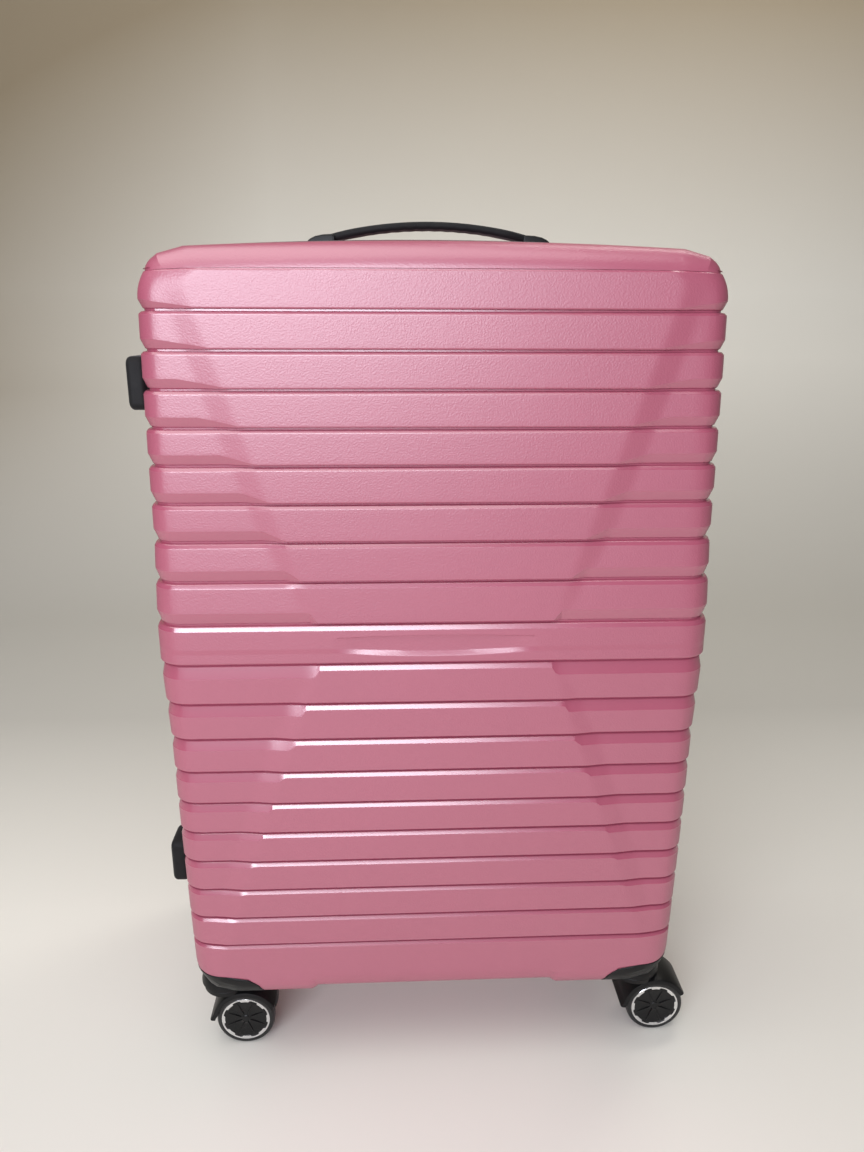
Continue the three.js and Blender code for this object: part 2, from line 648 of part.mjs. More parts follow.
add('pack_strap_left', box([-230, -31], STRAP_Y, span(STRAP_Z, 12)), WEBBING);
add('pack_strap_right', box([31, 230], STRAP_Y, span(STRAP_Z, 12)), WEBBING);
add('buckle_socket', buckleSocket(), BLACK_PLASTIC);
add('buckle_tongue', buckleTongue(), BLACK_PLASTIC);

export default suitcase;
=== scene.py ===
"""Visual model of a ribbed hard shell suitcase on four twin-wheel casters, built around its CAD frame."""
import json
import math

import bmesh
import bpy
import numpy as np
from mathutils import Matrix, Vector


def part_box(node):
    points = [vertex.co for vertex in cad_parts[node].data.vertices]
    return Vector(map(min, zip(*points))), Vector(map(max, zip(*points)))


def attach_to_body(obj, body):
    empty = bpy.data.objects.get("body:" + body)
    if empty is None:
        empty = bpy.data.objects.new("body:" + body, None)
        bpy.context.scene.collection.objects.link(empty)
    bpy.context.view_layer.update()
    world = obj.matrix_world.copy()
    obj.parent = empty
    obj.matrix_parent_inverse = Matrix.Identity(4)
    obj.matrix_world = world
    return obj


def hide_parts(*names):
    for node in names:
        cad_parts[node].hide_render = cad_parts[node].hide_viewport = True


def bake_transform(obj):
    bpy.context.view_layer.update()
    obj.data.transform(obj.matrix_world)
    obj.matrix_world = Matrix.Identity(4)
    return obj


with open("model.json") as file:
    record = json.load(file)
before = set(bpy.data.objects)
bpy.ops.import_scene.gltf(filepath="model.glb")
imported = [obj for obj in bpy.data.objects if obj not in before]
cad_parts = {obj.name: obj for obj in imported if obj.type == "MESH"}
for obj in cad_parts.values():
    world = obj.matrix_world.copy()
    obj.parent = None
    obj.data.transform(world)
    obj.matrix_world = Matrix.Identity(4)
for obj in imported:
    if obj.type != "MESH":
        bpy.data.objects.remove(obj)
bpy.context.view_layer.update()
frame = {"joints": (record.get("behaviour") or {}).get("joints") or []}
scene = bpy.context.scene
MM = 0.001

# ---------------------------------------------------------------- shell outline, in mm, from the CAD boxes
SHELL_LO, SHELL_HI = (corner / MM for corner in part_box("front_shell"))
HALF_WIDTH = SHELL_HI.x
FACE_Y = -SHELL_LO.y
UNDER_RAISE = 3.6
SHELL_BOTTOM = SHELL_LO.z + UNDER_RAISE
CROWN_ARCH = 5.0
CROWN_EDGE = SHELL_HI.z - CROWN_ARCH
CORNER = 48.0
SEAM_Y = 7.0
FRONT_BOW, BOW_Z, BOW_REACH = 7.0, 430.0, 355.0
FILLET = 22.0
WALL_Y = FACE_Y - FILLET
DRAFT = 10.0
FACE_INSET = DRAFT + FILLET
CORNER_X = HALF_WIDTH - CORNER
UPPER_Z = CROWN_EDGE - CORNER
LOWER_Z = SHELL_BOTTOM + CORNER
CAP_INSET = 27.0
CAP_Z = CROWN_EDGE - CAP_INSET
BASE_Z = SHELL_BOTTOM + CAP_INSET
CAP_RADIUS = CORNER - CAP_INSET

# ---------------------------------------------------------------- grooves and the hourglass panel, in mm
MIDDLE_Z = (SHELL_LO.z + SHELL_HI.z) / 2 + 22.0
GROOVE_OFFSETS = (18, 55, 89, 121, 152, 182, 212, 242, 272)
LOWER_EXTRA = 302
WAIST = 94.0
FLARE = 0.335
RAMP_NEAR, RAMP_GROWTH = 4.0, 0.15
PANEL_RISE, PANEL_PROUD, PANEL_SLOPE = 2.8, 0.8, 19.0
GROOVE_GAP = 2.5
GROOVE_DEPTH = 4.6
LENS_HALF, LENS_DEPTH = 82.0, 2.2
FOOT_RAISE, RAISE_HALF, RAISE_RAMP = 4.5, 112.0, 8.0


def lerp(a, b, t):
    """The value a share t of the way from a to b."""
    return a + (b - a) * t


def ramp(value, start, end):
    """0 before start, 1 after end, straight between."""
    return np.clip((value - start) / (end - start), 0.0, 1.0)


def ease(value, start, end):
    """0 before start, 1 after end, with a soft start and stop between."""
    t = ramp(value, start, end)
    return t * t * (3 - 2 * t)


def depth_at(inset):
    """Distance from the seam plane of the shell surface at an inset from its outline."""
    inset = np.asarray(inset, float)
    wall = SEAM_Y + (WALL_Y - SEAM_Y) * inset / DRAFT
    lean = np.sqrt(np.clip(FILLET**2 - (FACE_INSET - inset) ** 2, 0, None))
    return np.where(inset < DRAFT, wall, np.where(inset < FACE_INSET, WALL_Y + lean, FACE_Y))


def profile_at(p):
    """Inset and depth along the wall (p 0 to 1) and the fillet (p 1 to 2)."""
    angle = np.clip(p - 1, 0, 1) * math.pi / 2
    inset = np.where(p < 1, DRAFT * p, FACE_INSET - FILLET * np.cos(angle))
    return inset, np.where(p < 1, lerp(SEAM_Y, WALL_Y, p), WALL_Y + FILLET * np.sin(angle))


def profile_of(inset):
    """The p of profile_at() that has this inset."""
    inset = np.asarray(inset, float)
    bend = np.arccos(np.clip((FACE_INSET - inset) / FILLET, -1, 1)) / (math.pi / 2)
    return np.where(inset < DRAFT, inset / DRAFT, 1 + bend)


def crown_edge(x):
    """Height of the arched top edge of the outline."""
    return CROWN_EDGE + CROWN_ARCH * (1 - (np.minimum(np.abs(x), CORNER_X) / CORNER_X) ** 2)


def bottom_edge(x):
    """Height of the bottom edge of the outline, which is raised between the corners."""
    return SHELL_BOTTOM + FOOT_RAISE * (1 - ease(np.abs(x), RAISE_HALF, RAISE_HALF + RAISE_RAMP))


def inset_of(x, z):
    """Distance from the outline to a point on the front, by the nearest side, edge or corner."""
    ax = np.abs(x)
    inset = np.minimum(HALF_WIDTH - ax, np.minimum(crown_edge(x) - z, z - bottom_edge(x)))
    for past in (z - UPPER_Z, LOWER_Z - z):
        round_ = CORNER - np.hypot(ax - CORNER_X, past)
        inset = np.where((ax > CORNER_X) & (past > 0), round_, inset)
    return inset


def side_x(inset, z):
    """Half width of the shell at an inset and height."""
    past = np.maximum(np.maximum(z - UPPER_Z, LOWER_Z - z), 0)
    return CORNER_X + np.sqrt(np.clip((CORNER - inset) ** 2 - past**2, 0, None))


# ---------------------------------------------------------------- columns: side wall and fillet, then face
WALL_STEPS = (0.0, 0.12, 0.37, 0.62, 0.84, 1.0)
CAP_P = float(profile_of(CAP_INSET))
SIDE_P = np.array(list(WALL_STEPS) + [lerp(1.0, CAP_P, k / 8) for k in range(1, 9)])
FACE_X = np.concatenate([np.linspace(0, 84, 8), np.linspace(90, 198, 34), [203.0, 209.0]])
FACE_X = np.concatenate([-FACE_X[:0:-1], FACE_X]) / side_x(CAP_INSET, MIDDLE_Z)
N_SIDE = len(SIDE_P)
N_COLS = 2 * N_SIDE + len(FACE_X)
ONE, NIL = np.ones(N_COLS), np.zeros(N_COLS)


def across(z):
    """One row of points (x, y, z) from the left seam to the right seam; z has one value for each column."""
    inset, depth = profile_at(SIDE_P)
    face = slice(N_SIDE, N_COLS - N_SIDE)
    x = np.empty(N_COLS)
    y = np.empty(N_COLS)
    x[:N_SIDE] = -side_x(inset, z[:N_SIDE])
    x[-N_SIDE:] = side_x(inset, z[::-1][:N_SIDE])[::-1]
    y[:N_SIDE], y[-N_SIDE:] = depth, depth[::-1]
    x[face] = FACE_X * side_x(CAP_INSET, z[face])
    y[face] = depth_at(inset_of(x[face], z[face]))
    return np.stack([x, -y, z], axis=1)


def end_rows(edge_z, sign, fractions):
    """Rows from the level edge_z over the crown (sign 1) or under the bottom (sign -1) to the seam."""
    inset, _ = profile_at(SIDE_P)
    angle = np.arcsin(np.clip(CAP_RADIUS / (CORNER - inset), -1, 1))
    centre = UPPER_Z if sign > 0 else LOWER_Z
    x_face = FACE_X * CORNER_X
    edge = crown_edge(x_face) if sign > 0 else bottom_edge(x_face)
    base_p = profile_of(sign * (edge - edge_z))
    rows = []
    for f in fractions:
        side_inset, side_y = profile_at(SIDE_P * (1 - f))
        reach = CORNER - side_inset
        side = np.stack([-(CORNER_X + reach * np.cos(angle)), -side_y,
                         centre + sign * reach * np.sin(angle)], 1)
        face_inset, face_y = profile_at(base_p * (1 - f))
        face = np.stack([x_face, -face_y, edge - sign * face_inset], 1)
        right = side[::-1] * np.array([-1, 1, 1])
        rows.append(np.concatenate([side, face, right]))
    return rows


# ---------------------------------------------------------------- rows of the ribbed part
CAP_GROOVE = 1.0
CAP_GRAIN, UNDER_GRAIN = 0.75, 0.8


def spread():
    """Distance from the middle plane of each column, measured round the fillet and along the side wall."""
    points = across(MIDDLE_Z * ONE)
    step = np.linalg.norm(np.diff(points[:, :2], axis=0), axis=1)
    run = np.concatenate([[0], np.cumsum(step)])
    return np.abs(run - run[-1] / 2)


SPREAD = spread()


def side_share(z, widest=1000.0):
    """0 on the hourglass panel, 1 beside it, with a straight ramp between."""
    away = np.abs(z - MIDDLE_Z)
    inner = WAIST + FLARE * away
    return ramp(SPREAD, inner, inner + np.minimum(RAMP_NEAR + RAMP_GROWTH * away, widest))


def panel_depth(z):
    """The sides stand back from the hourglass panel, and meet it level at its waist."""
    rise = PANEL_RISE * ramp(np.abs(z - MIDDLE_Z), GROOVE_OFFSETS[0], GROOVE_OFFSETS[2])
    return rise * side_share(z, PANEL_SLOPE) - PANEL_PROUD


def groove_rows(offset):
    """Rows of one groove from its upper edge to its lower edge, as (z, depth, grain) for each column."""
    z = (MIDDLE_Z + offset) * ONE
    side = side_share(z)
    far = abs(offset) / GROOVE_OFFSETS[-1]
    half = GROOVE_GAP / 2
    if offset > 0:
        facet = lerp(0.7, lerp(9.6, 6.4, far), side)
        facet_depth = lerp(0.4, 3.3, side)
        chamfer = lerp(lerp(3.8, 1.9, ramp(abs(offset), 18, 150)), lerp(3.8, 1.6, far), side)
        chamfer_depth = 1.5 * ONE
    else:
        facet = 0.7 * ONE
        facet_depth = 0.4 * ONE
        step = ramp(SPREAD, WAIST + FLARE * abs(offset), WAIST + FLARE * abs(offset) + 4)
        chamfer = lerp(lerp(4.2, 2.4, far), lerp(11.5, 3.0, far), step)
        chamfer_depth = lerp(1.7, lerp(2.9, 1.5, far), step)
    top = z + half + facet
    low = z - half - chamfer
    return [
        (top + 0.5, NIL, ONE),
        (top, 0.12 * ONE, NIL),
        (z + half + 0.3, facet_depth * 0.97, NIL),
        (z + half - 0.1, facet_depth + 0.4, NIL),
        (z + half - 0.6, GROOVE_DEPTH * ONE, NIL),
        (z - half + 0.6, GROOVE_DEPTH * ONE, NIL),
        (z - half, chamfer_depth + 0.3, NIL),
        (z - half - 0.5, chamfer_depth * 0.9, NIL),
        (low, 0.1 * ONE, NIL),
        (low - 0.6, NIL, ONE),
    ]


def lens_rows():
    """Rows of the shallow recess on the middle band."""
    share = np.clip(1 - (SPREAD / LENS_HALF) ** 2, 0, 1)
    deep = LENS_DEPTH * share**0.38
    bend = np.minimum((SPREAD / LENS_HALF) ** 2, 1)
    top = MIDDLE_Z + 7.6 - 1.6 * bend
    low = MIDDLE_Z - 11.2 + 3.2 * bend
    return [(top + 0.4, NIL, ONE), (top - 0.5, deep * 0.92, ONE), (top - 1.2, deep, ONE),
            (top - 6, deep, ONE), (low + 5.0, deep, ONE), (low + 4.0, deep * 0.9, ONE * 0.3),
            (low + 0.5, deep * 0.08, ONE * 0.3), (low, NIL, ONE)]


def band_rows(upper, lower, count):
    """Plain rows between two others."""
    return [(lerp(upper, lower, k / (count + 1)), NIL, ONE) for k in range(1, count + 1)]


def ribbed_rows():
    """All rows from the cap ledge down to the bottom fillet."""
    offsets = list(GROOVE_OFFSETS)[::-1] + [-o for o in GROOVE_OFFSETS] + [-LOWER_EXTRA]
    rows = [(ONE * (CAP_Z - 0.05), cap_recess() + CAP_GROOVE, NIL),
            (ONE * (CAP_Z - 0.2), ONE * 0.9, NIL),
            (ONE * (CAP_Z - 1.1), ONE * 0.12, NIL), (ONE * (CAP_Z - 1.6), NIL, ONE)]
    for offset in offsets:
        groove = groove_rows(offset)
        rows += band_rows(rows[-1][0], groove[0][0], 4) + groove
        if offset == GROOVE_OFFSETS[0]:
            rows += lens_rows()
    floor = ONE * BASE_Z
    return rows + band_rows(rows[-1][0], floor, 7) + [(floor, NIL, ONE)]


def normals_of(grid):
    """Outward normals of a grid of points by finite differences."""
    along = np.gradient(grid, axis=1)
    down = np.gradient(grid, axis=0)
    normal = np.cross(down, along)
    length = np.linalg.norm(normal, axis=2, keepdims=True)
    return normal / np.maximum(length, 1e-9)


def cap_recess():
    """How far the crown cap stands back at its rim, for each column."""
    return lerp(0.8, 3.0, ease(SPREAD, 120, 225))


def cap_fade(fraction):
    """The recess of the cap dies out over the crown, away from its rim."""
    return 1 - float(ease(fraction, 0.0, 0.4))


def shell_grid():
    """Points, displaced inward by the relief, and grain of the front shell, in mm."""
    rows = ribbed_rows()
    over = (0.02, 0.035, 0.05, 0.07, 0.1, 0.14, 0.2, 0.26, 0.32, 0.38, 0.44, 0.5, 0.6, 0.72, 0.86, 1.0)
    rim = (0.0, 0.006, 0.012, 0.014)
    cap = end_rows(CAP_Z, 1, (rim + over)[::-1])
    under = end_rows(BASE_Z, -1, over)
    base = np.array(cap + [across(z) for z, _, _ in rows] + under)
    recess = cap_recess()
    ledge = [recess * cap_fade(f) for f in (rim + over)[:1:-1]] + [recess + CAP_GROOVE] * 2
    relief = [d + panel_depth(z) for z, d, _ in rows]
    depth = np.array(ledge + relief + [panel_depth(ONE * BASE_Z)] * len(under))
    ribbed_grain = [g for _, _, g in rows]
    grain = np.array([ONE * CAP_GRAIN] * len(cap) + ribbed_grain + [ONE * UNDER_GRAIN] * len(under))
    normal = normals_of(base)
    # The rows of the ledge are too close together for a normal of their own.
    normal[len(cap) - 2:len(cap) + 3] = normal[len(cap) + 4]
    return base - normal * depth[:, :, None], grain


# ---------------------------------------------------------------- mesh tools, in mm
def rounded_loop(half_u, half_v, radius, steps=5):
    """Closed loop of (u, v) round a rectangle with round corners."""
    radius = max(min(radius, half_u, half_v), 0.01)
    loop = []
    for corner, (su, sv) in enumerate(((1, 1), (-1, 1), (-1, -1), (1, -1))):
        for k in range(steps + 1):
            angle = (corner + k / steps) * math.pi / 2
            loop.append((su * (half_u - radius) + radius * math.cos(angle),
                         sv * (half_v - radius) + radius * math.sin(angle)))
    return np.array(loop)


def ring(x, y, z):
    """Points whose coordinates are each a list or one number for them all."""
    return np.stack(np.broadcast_arrays(x, y, z), 1).astype(float)


class Piece:
    """Gathers the points and faces of one object."""

    def __init__(self):
        self.points, self.faces, self.marks = [], [], []
        self.mark = 0

    def add(self, points, faces, flip=False):
        """Adds points, and faces that number them from 0."""
        start = sum(len(p) for p in self.points)
        self.points.append(np.asarray(points, float))
        for face in faces:
            face = [start + i for i in face]
            self.faces.append(face[::-1] if flip else face)
            self.marks.append(self.mark)

    def loft(self, rings, closed=True, caps=True, loop=False, flip=False):
        """Skins a list of rings with the same number of points."""
        count, n = len(rings), len(rings[0])
        faces = []
        for r in range(count if loop else count - 1):
            a, b = r * n, ((r + 1) % count) * n
            for i in range(n if closed else n - 1):
                j = (i + 1) % n
                faces.append((a + i, a + j, b + j, b + i))
        if caps and closed and not loop:
            faces.append(tuple(range(n))[::-1])
            faces.append(tuple((count - 1) * n + i for i in range(n)))
        self.add(np.concatenate(rings), faces, flip)
        return self

    def block(self, lo, hi, axis="z", corner=2.0, edge=1.0, steps=4):
        """A box from lo to hi, with round corners about the axis and round rims at its two ends."""
        lo, hi = np.array(lo, float), np.array(hi, float)
        centre, half = (lo + hi) / 2, (hi - lo) / 2
        u, v, w = {"x": (1, 2, 0), "y": (2, 0, 1), "z": (0, 1, 2)}[axis]
        edge = min(edge, half[u] - 0.01, half[v] - 0.01, half[w])
        rings = []
        for k in range(2 * steps + 2):
            lower = k <= steps
            angle = (k if lower else k - 1) / (2 * steps) * math.pi - math.pi / 2
            inset = edge * (1 - math.cos(angle))
            level = (-1 if lower else 1) * (half[w] - edge) + edge * math.sin(angle)
            loop = rounded_loop(half[u] - inset, half[v] - inset, corner - inset * 0.6, steps)
            ring = np.empty((len(loop), 3))
            ring[:, u], ring[:, v], ring[:, w] = loop[:, 0], loop[:, 1], level
            rings.append(ring + centre)
        return self.loft(rings)

    def lathe(self, profile, centre, axis="y", sides=48, scallop=None):
        """Turns a closed (radius, along) profile about an axis through centre."""
        order = {"x": (2, 0, 1), "y": (0, 2, 1), "z": (0, 1, 2)}[axis]
        radius, along = np.array(profile, float).T
        rings = []
        for k in range(sides):
            angle = math.radians(360 * (k / sides))
            reach = radius + [scallop(r, angle) for r in radius] if scallop else radius
            turned = ring(reach * math.cos(angle), reach * math.sin(angle), along)
            rings.append(turned[:, order] + np.array(centre, float))
        return self.loft(rings, loop=True, flip=axis == "y")

    def fan(self, block, count, centre, plane):
        """Adds copies of a block turned about centre in the plane of two axes, half a step off the first."""
        points, (a, b) = np.concatenate(block.points), plane
        for k in range(count):
            angle = (k + 0.5) * math.tau / count
            turned = points.copy()
            turned[:, a] = points[:, a] * math.cos(angle) - points[:, b] * math.sin(angle)
            turned[:, b] = points[:, a] * math.sin(angle) + points[:, b] * math.cos(angle)
            self.add(turned + centre, block.faces)

    def sweep(self, path, sections, up=(0, 0, 1)):
        """Carries a (side, up) section for each point along a path."""
        path = np.asarray(path, float)
        tangent = np.gradient(path, axis=0)
        tangent /= np.linalg.norm(tangent, axis=1, keepdims=True)
        side = np.cross(np.array(up, float), tangent)
        side /= np.linalg.norm(side, axis=1, keepdims=True)
        over = np.cross(tangent, side)
        rings = [path[k] + np.outer(sections[k][:, 0], over[k]) + np.outer(sections[k][:, 1], side[k])
                 for k in range(len(path))]
        return self.loft(rings)

    def build(self, name, materials, body, node=None, slot=None, sharp=38.0, turn=None):
        """Makes the object, puts it on its body and lets it stand for its CAD node."""
        points = np.concatenate(self.points)
        if turn is not None:
            points = turn(points)
        mesh = bpy.data.meshes.new(name)
        mesh.from_pydata((points * MM).tolist(), [], self.faces)
        obj = bpy.data.objects.new(name, mesh)
        scene.collection.objects.link(obj)
        for material in materials if isinstance(materials, (list, tuple)) else [materials]:
            mesh.materials.append(material)
        mesh.polygons.foreach_set("material_index", self.marks)
        tidy_mesh(mesh, sharp)
        return attach(obj, body, node)


def tidy_mesh(mesh, sharp):
    """Joins doubled points, turns the faces outward and sets the shading."""
    bm = bmesh.new()
    bm.from_mesh(mesh)
    bmesh.ops.remove_doubles(bm, verts=bm.verts, dist=1e-6)
    bmesh.ops.recalc_face_normals(bm, faces=bm.faces)
    write_mesh(bm, mesh, sharp)


def write_mesh(bm, mesh, sharp):
    """Writes a bmesh with smooth faces, and with sharp edges where they meet at more than the given angle."""
    for face in bm.faces:
        face.smooth = True
    for edge in bm.edges:
        edge.smooth = not (len(edge.link_faces) == 2 and edge.calc_face_angle(0) > math.radians(sharp))
    bm.to_mesh(mesh)
    bm.free()
    mesh.update()


def attach(obj, body, node=None):
    """Puts the object on its body and hides its CAD node; a piece on two bodies has body None here and is put
    on no body.
    """
    if body:
        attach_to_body(obj, body)
    if node:
        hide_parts(node)
    return obj


# ---------------------------------------------------------------- materials
class Finish:
    """A material with a Principled shader, and short calls for the nodes that feed it."""

    def __init__(self, name, **sockets):
        self.material = bpy.data.materials.new(name)
        self.material.use_nodes = True
        self.tree = self.material.node_tree
        self.shader = self.tree.nodes["Principled BSDF"]
        for socket, value in sockets.items():
            self.shader.inputs[socket.replace("_", " ")].default_value = value
        self.coords = self.tree.nodes.new("ShaderNodeTexCoord").outputs["Object"]

    def link(self, value, socket):
        """Sets a socket to a number or colour, or joins it to another node's output."""
        if isinstance(value, bpy.types.NodeSocket):
            self.tree.links.new(value, socket)
        else:
            socket.default_value = value

    def node(self, kind, output=0, props=None, **inputs):
        """Adds a node and returns one output; _0 stands for an input's number, From_Min for its name."""
        made = self.tree.nodes.new("ShaderNode" + kind)
        for key, value in (props or {}).items():
            setattr(made, key, value)
        for key, value in inputs.items():
            key = int(key[1:]) if key[0] == "_" else key.replace("_", " ")
            self.link(value, made.inputs[key])
        return made.outputs[output]

    def scaled(self, x, y, z):
        return self.node("VectorMath", 0, {"operation": "MULTIPLY"}, _0=self.coords, _1=(x, y, z))

    def noise(self, scale, detail=2.0, rough=0.5, vector=None):
        return self.node("TexNoise", "Fac", None, Vector=vector or self.coords, Scale=scale, Detail=detail,
                         Roughness=rough)

    def cells(self, scale, feature="F1"):
        return self.node("TexVoronoi", "Distance", {"feature": feature}, Vector=self.coords, Scale=scale)

    def math(self, operation, a, b=0.5, c=0.0, clamp=False):
        return self.node("Math", 0, {"operation": operation, "use_clamp": clamp}, _0=a, _1=b, _2=c)

    def remap(self, value, lo, hi, to_lo=0.0, to_hi=1.0):
        return self.node("MapRange", 0, None, Value=value, From_Min=lo, From_Max=hi, To_Min=to_lo,
                         To_Max=to_hi)

    def blend(self, factor, a, b):
        return self.node("Mix", 2, {"data_type": "RGBA"}, _0=factor, _6=a, _7=b)

    def attribute(self, name):
        return self.node("Attribute", "Fac", {"attribute_name": name})

    def colour(self, value):
        self.link(value, self.shader.inputs["Base Color"])
        return self

    def roughness(self, value):
        self.link(value, self.shader.inputs["Roughness"])
        return self

    def bump(self, *layers):
        """Each layer is (height, strength, distance in mm)."""
        normal = None
        for height, strength, distance in layers:
            inputs = dict(Height=height, Strength=strength, Distance=distance * MM)
            if normal is not None:
                inputs["Normal"] = normal
            normal = self.node("Bump", 0, None, **inputs)
        self.link(normal, self.shader.inputs["Normal"])
        return self


def rgba(r, g, b):
    return (r, g, b, 1.0)


def shade(colour, factor):
    return rgba(*(c * factor for c in colour[:3]))


def pink_shell():
    """Moulded polypropylene: fine leather grain on the band faces, smooth on the chamfers."""
    pink = rgba(0.405, 0.089, 0.148)
    f = Finish("pink_polypropylene", Specular_IOR_Level=0.88, IOR=1.7)
    grain = f.attribute("grain")
    leather = f.cells(760, "SMOOTH_F1")
    fine = f.noise(1500, 3.0, 0.6)
    cloud = f.noise(7, 3.0)
    wear = f.noise(90, 4.0, 0.7)
    tone = f.math("ADD", f.math("MULTIPLY", cloud, 0.45), f.math("MULTIPLY", wear, 0.25))
    f.colour(f.blend(tone, shade(pink, 0.93), shade(pink, 1.1)))
    rough = f.math("MULTIPLY", grain, f.math("MULTIPLY_ADD", fine, 0.1, 0.13))
    f.roughness(f.math("ADD", rough, 0.25))
    depth = f.math("MULTIPLY", grain, 0.75)
    f.bump((f.noise(14, 2.0), 0.1, 1.2), (leather, depth, 0.17), (fine, depth, 0.08))
    return f.material


def moulded_black(name, tone=0.0045, rough=0.40, grain=0.35):
    """Black injection-moulded plastic with a fine spark-eroded texture."""
    f = Finish(name, Specular_IOR_Level=0.26)
    dust = f.noise(60, 4.0, 0.65)
    fine = f.noise(1900, 2.0)
    f.colour(f.blend(dust, rgba(tone, tone, tone * 1.06), rgba(tone * 1.9, tone * 1.85, tone * 1.9)))
    f.roughness(f.remap(f.noise(24, 3.0), 0.3, 0.7, rough - 0.05, rough + 0.09))
    f.bump((fine, grain, 0.09), (f.noise(180, 2.0), 0.12, 0.12))
    return f.material


def rubber_black():
    """Matt soft-touch rubber with a fine cell texture."""
    f = Finish("soft_rubber", Specular_IOR_Level=0.2, Sheen_Weight=0.12, Sheen_Roughness=0.4)
    f.colour(f.blend(f.noise(130, 4.0), rgba(0.006, 0.006, 0.007), rgba(0.014, 0.0135, 0.014)))
    f.roughness(f.remap(f.noise(40, 3.0), 0.3, 0.7, 0.56, 0.7))
    f.bump((f.cells(900), 0.4, 0.12))
    return f.material


def tyre_rubber():
    """Polyurethane tyre with light scuffs on the tread."""
    f = Finish("wheel_tyre", Specular_IOR_Level=0.45)
    scuff = f.remap(f.noise(160, 5.0, 0.7), 0.5, 0.75)
    f.colour(f.blend(scuff, rgba(0.011, 0.011, 0.012), rgba(0.03, 0.029, 0.029)))
    f.roughness(f.remap(scuff, 0, 1, 0.34, 0.58))
    f.bump((f.noise(700, 3.0), 0.25, 0.1))
    return f.material


def bright_metal(name, dark, light, cloud, rough, pits):
    """Plating or bare metal: clouded tone and roughness over fine pits."""
    f = Finish(name, Metallic=1.0)
    f.colour(f.blend(f.noise(*cloud), dark, light))
    f.roughness(f.remap(f.noise(rough[0], 3.0), 0.3, 0.7, *rough[1:]))
    f.bump((f.noise(pits[0], 2.0), *pits[1:]))
    return f.material


def aluminium():
    """Anodised tube, drawn along its length."""
    f = Finish("anodised_tube", Metallic=1.0)
    streak = f.noise(1.0, 3.0, 0.6, vector=f.scaled(1400, 1400, 6))
    f.colour(f.blend(streak, rgba(0.5, 0.5, 0.52), rgba(0.66, 0.66, 0.68)))
    f.roughness(f.remap(streak, 0.3, 0.7, 0.26, 0.42))
    f.bump((streak, 0.12, 0.05))
    return f.material


def woven(name, dark, light, pitch=0.9, rough=0.85, sheen=0.3, dye=0.2):
    """Plain weave: two crossed sets of threads, with uneven dye."""
    f = Finish(name, Specular_IOR_Level=0.25, Sheen_Weight=sheen, Sheen_Roughness=0.45)
    rate = math.tau / (pitch * MM)
    x, y, z = f.node("SeparateXYZ", 0, None, Vector=f.coords).node.outputs
    warp = f.math("SINE", f.math("MULTIPLY", f.math("ADD", x, y), rate))
    weft = f.math("SINE", f.math("MULTIPLY", z, rate))
    thread = f.remap(f.math("MULTIPLY", warp, weft), -1.0, 1.0)
    uneven = f.math("MULTIPLY", f.noise(30, 4.0), dye)
    worn = f.math("ADD", f.math("MULTIPLY", thread, 1 - dye), uneven, clamp=True)
    f.colour(f.blend(worn, dark, light))
    f.roughness(f.remap(f.noise(200, 2.0), 0.3, 0.7, rough - 0.06, rough + 0.08))
    f.bump((thread, 0.6, 0.25), (f.noise(2600, 2.0), 0.3, 0.08))
    return f.material


PINK = pink_shell()
BLACK = moulded_black("black_plastic")
SATIN = moulded_black("satin_black_plastic", tone=0.006, rough=0.26, grain=0.1)
RUBBER = rubber_black()
TYRE = tyre_rubber()
CHROME = bright_metal("plated_ring", rgba(0.72, 0.72, 0.74), rgba(0.86, 0.86, 0.87), (35, 2.0),
                      (300, 0.12, 0.22), (120, 0.05, 0.2))
STEEL = bright_metal("zinc_steel", rgba(0.42, 0.42, 0.44), rgba(0.62, 0.62, 0.64), (50, 3.0),
                     (420, 0.2, 0.34), (900, 0.1, 0.05))
TUBE = aluminium()
TAPE = woven("zip_tape", rgba(0.008, 0.008, 0.009), rgba(0.028, 0.028, 0.03), pitch=0.8)
TEETH = moulded_black("coil_teeth", tone=0.014, rough=0.3, grain=0.1)
WEB = woven("webbing", rgba(0.010, 0.010, 0.012), rgba(0.042, 0.042, 0.046), pitch=1.6, rough=0.7)
LINING = woven("lining_cloth", rgba(0.06, 0.062, 0.07), rgba(0.12, 0.122, 0.135), pitch=0.7, sheen=0.4)


# ---------------------------------------------------------------- shells and corner housings
CORNER_LINE = np.array([[165, 88], [169, 97], [178, 104], [198, 108], [225, 110], [262, 112]], float)
CORNER_REGION = np.array([(160, 50, 40), (270, 170, 118)])
HOUSING_Y = 52.0
HOUSING_PROUD = 0.35
HOUSING_WALL, SHELL_WALL = 3.4, 2.2
SHELL_SHARP = 14.0
GAP = 0.35
LINER_GAP = 9.8
ABOVE_CROWN, BESIDE_SHELL = 790.0, 270.0


def shell_mesh(side):
    """The outside of one half shell in mm, with the grain of its surface; side is -1 in front, 1 behind."""
    grid, grain = shell_grid()
    rows, cols = grid.shape[:2]
    points = grid * (1, -side, 1)
    bm = bmesh.new()
    layer = bm.verts.layers.float.new("grain")
    verts = []
    for point, value in zip(points.reshape(-1, 3), grain.reshape(-1)):
        vert = bm.verts.new(point)
        vert[layer] = value
        verts.append(vert)
    for r in range(rows - 1):
        for c in range(cols - 1):
            a = r * cols + c
            corners = [verts[a], verts[a + cols], verts[a + cols + 1], verts[a + 1]]
            bm.faces.new(corners if side < 0 else corners[::-1])
    bmesh.ops.remove_doubles(bm, verts=bm.verts, dist=1e-4)
    bm.normal_update()
    return bm


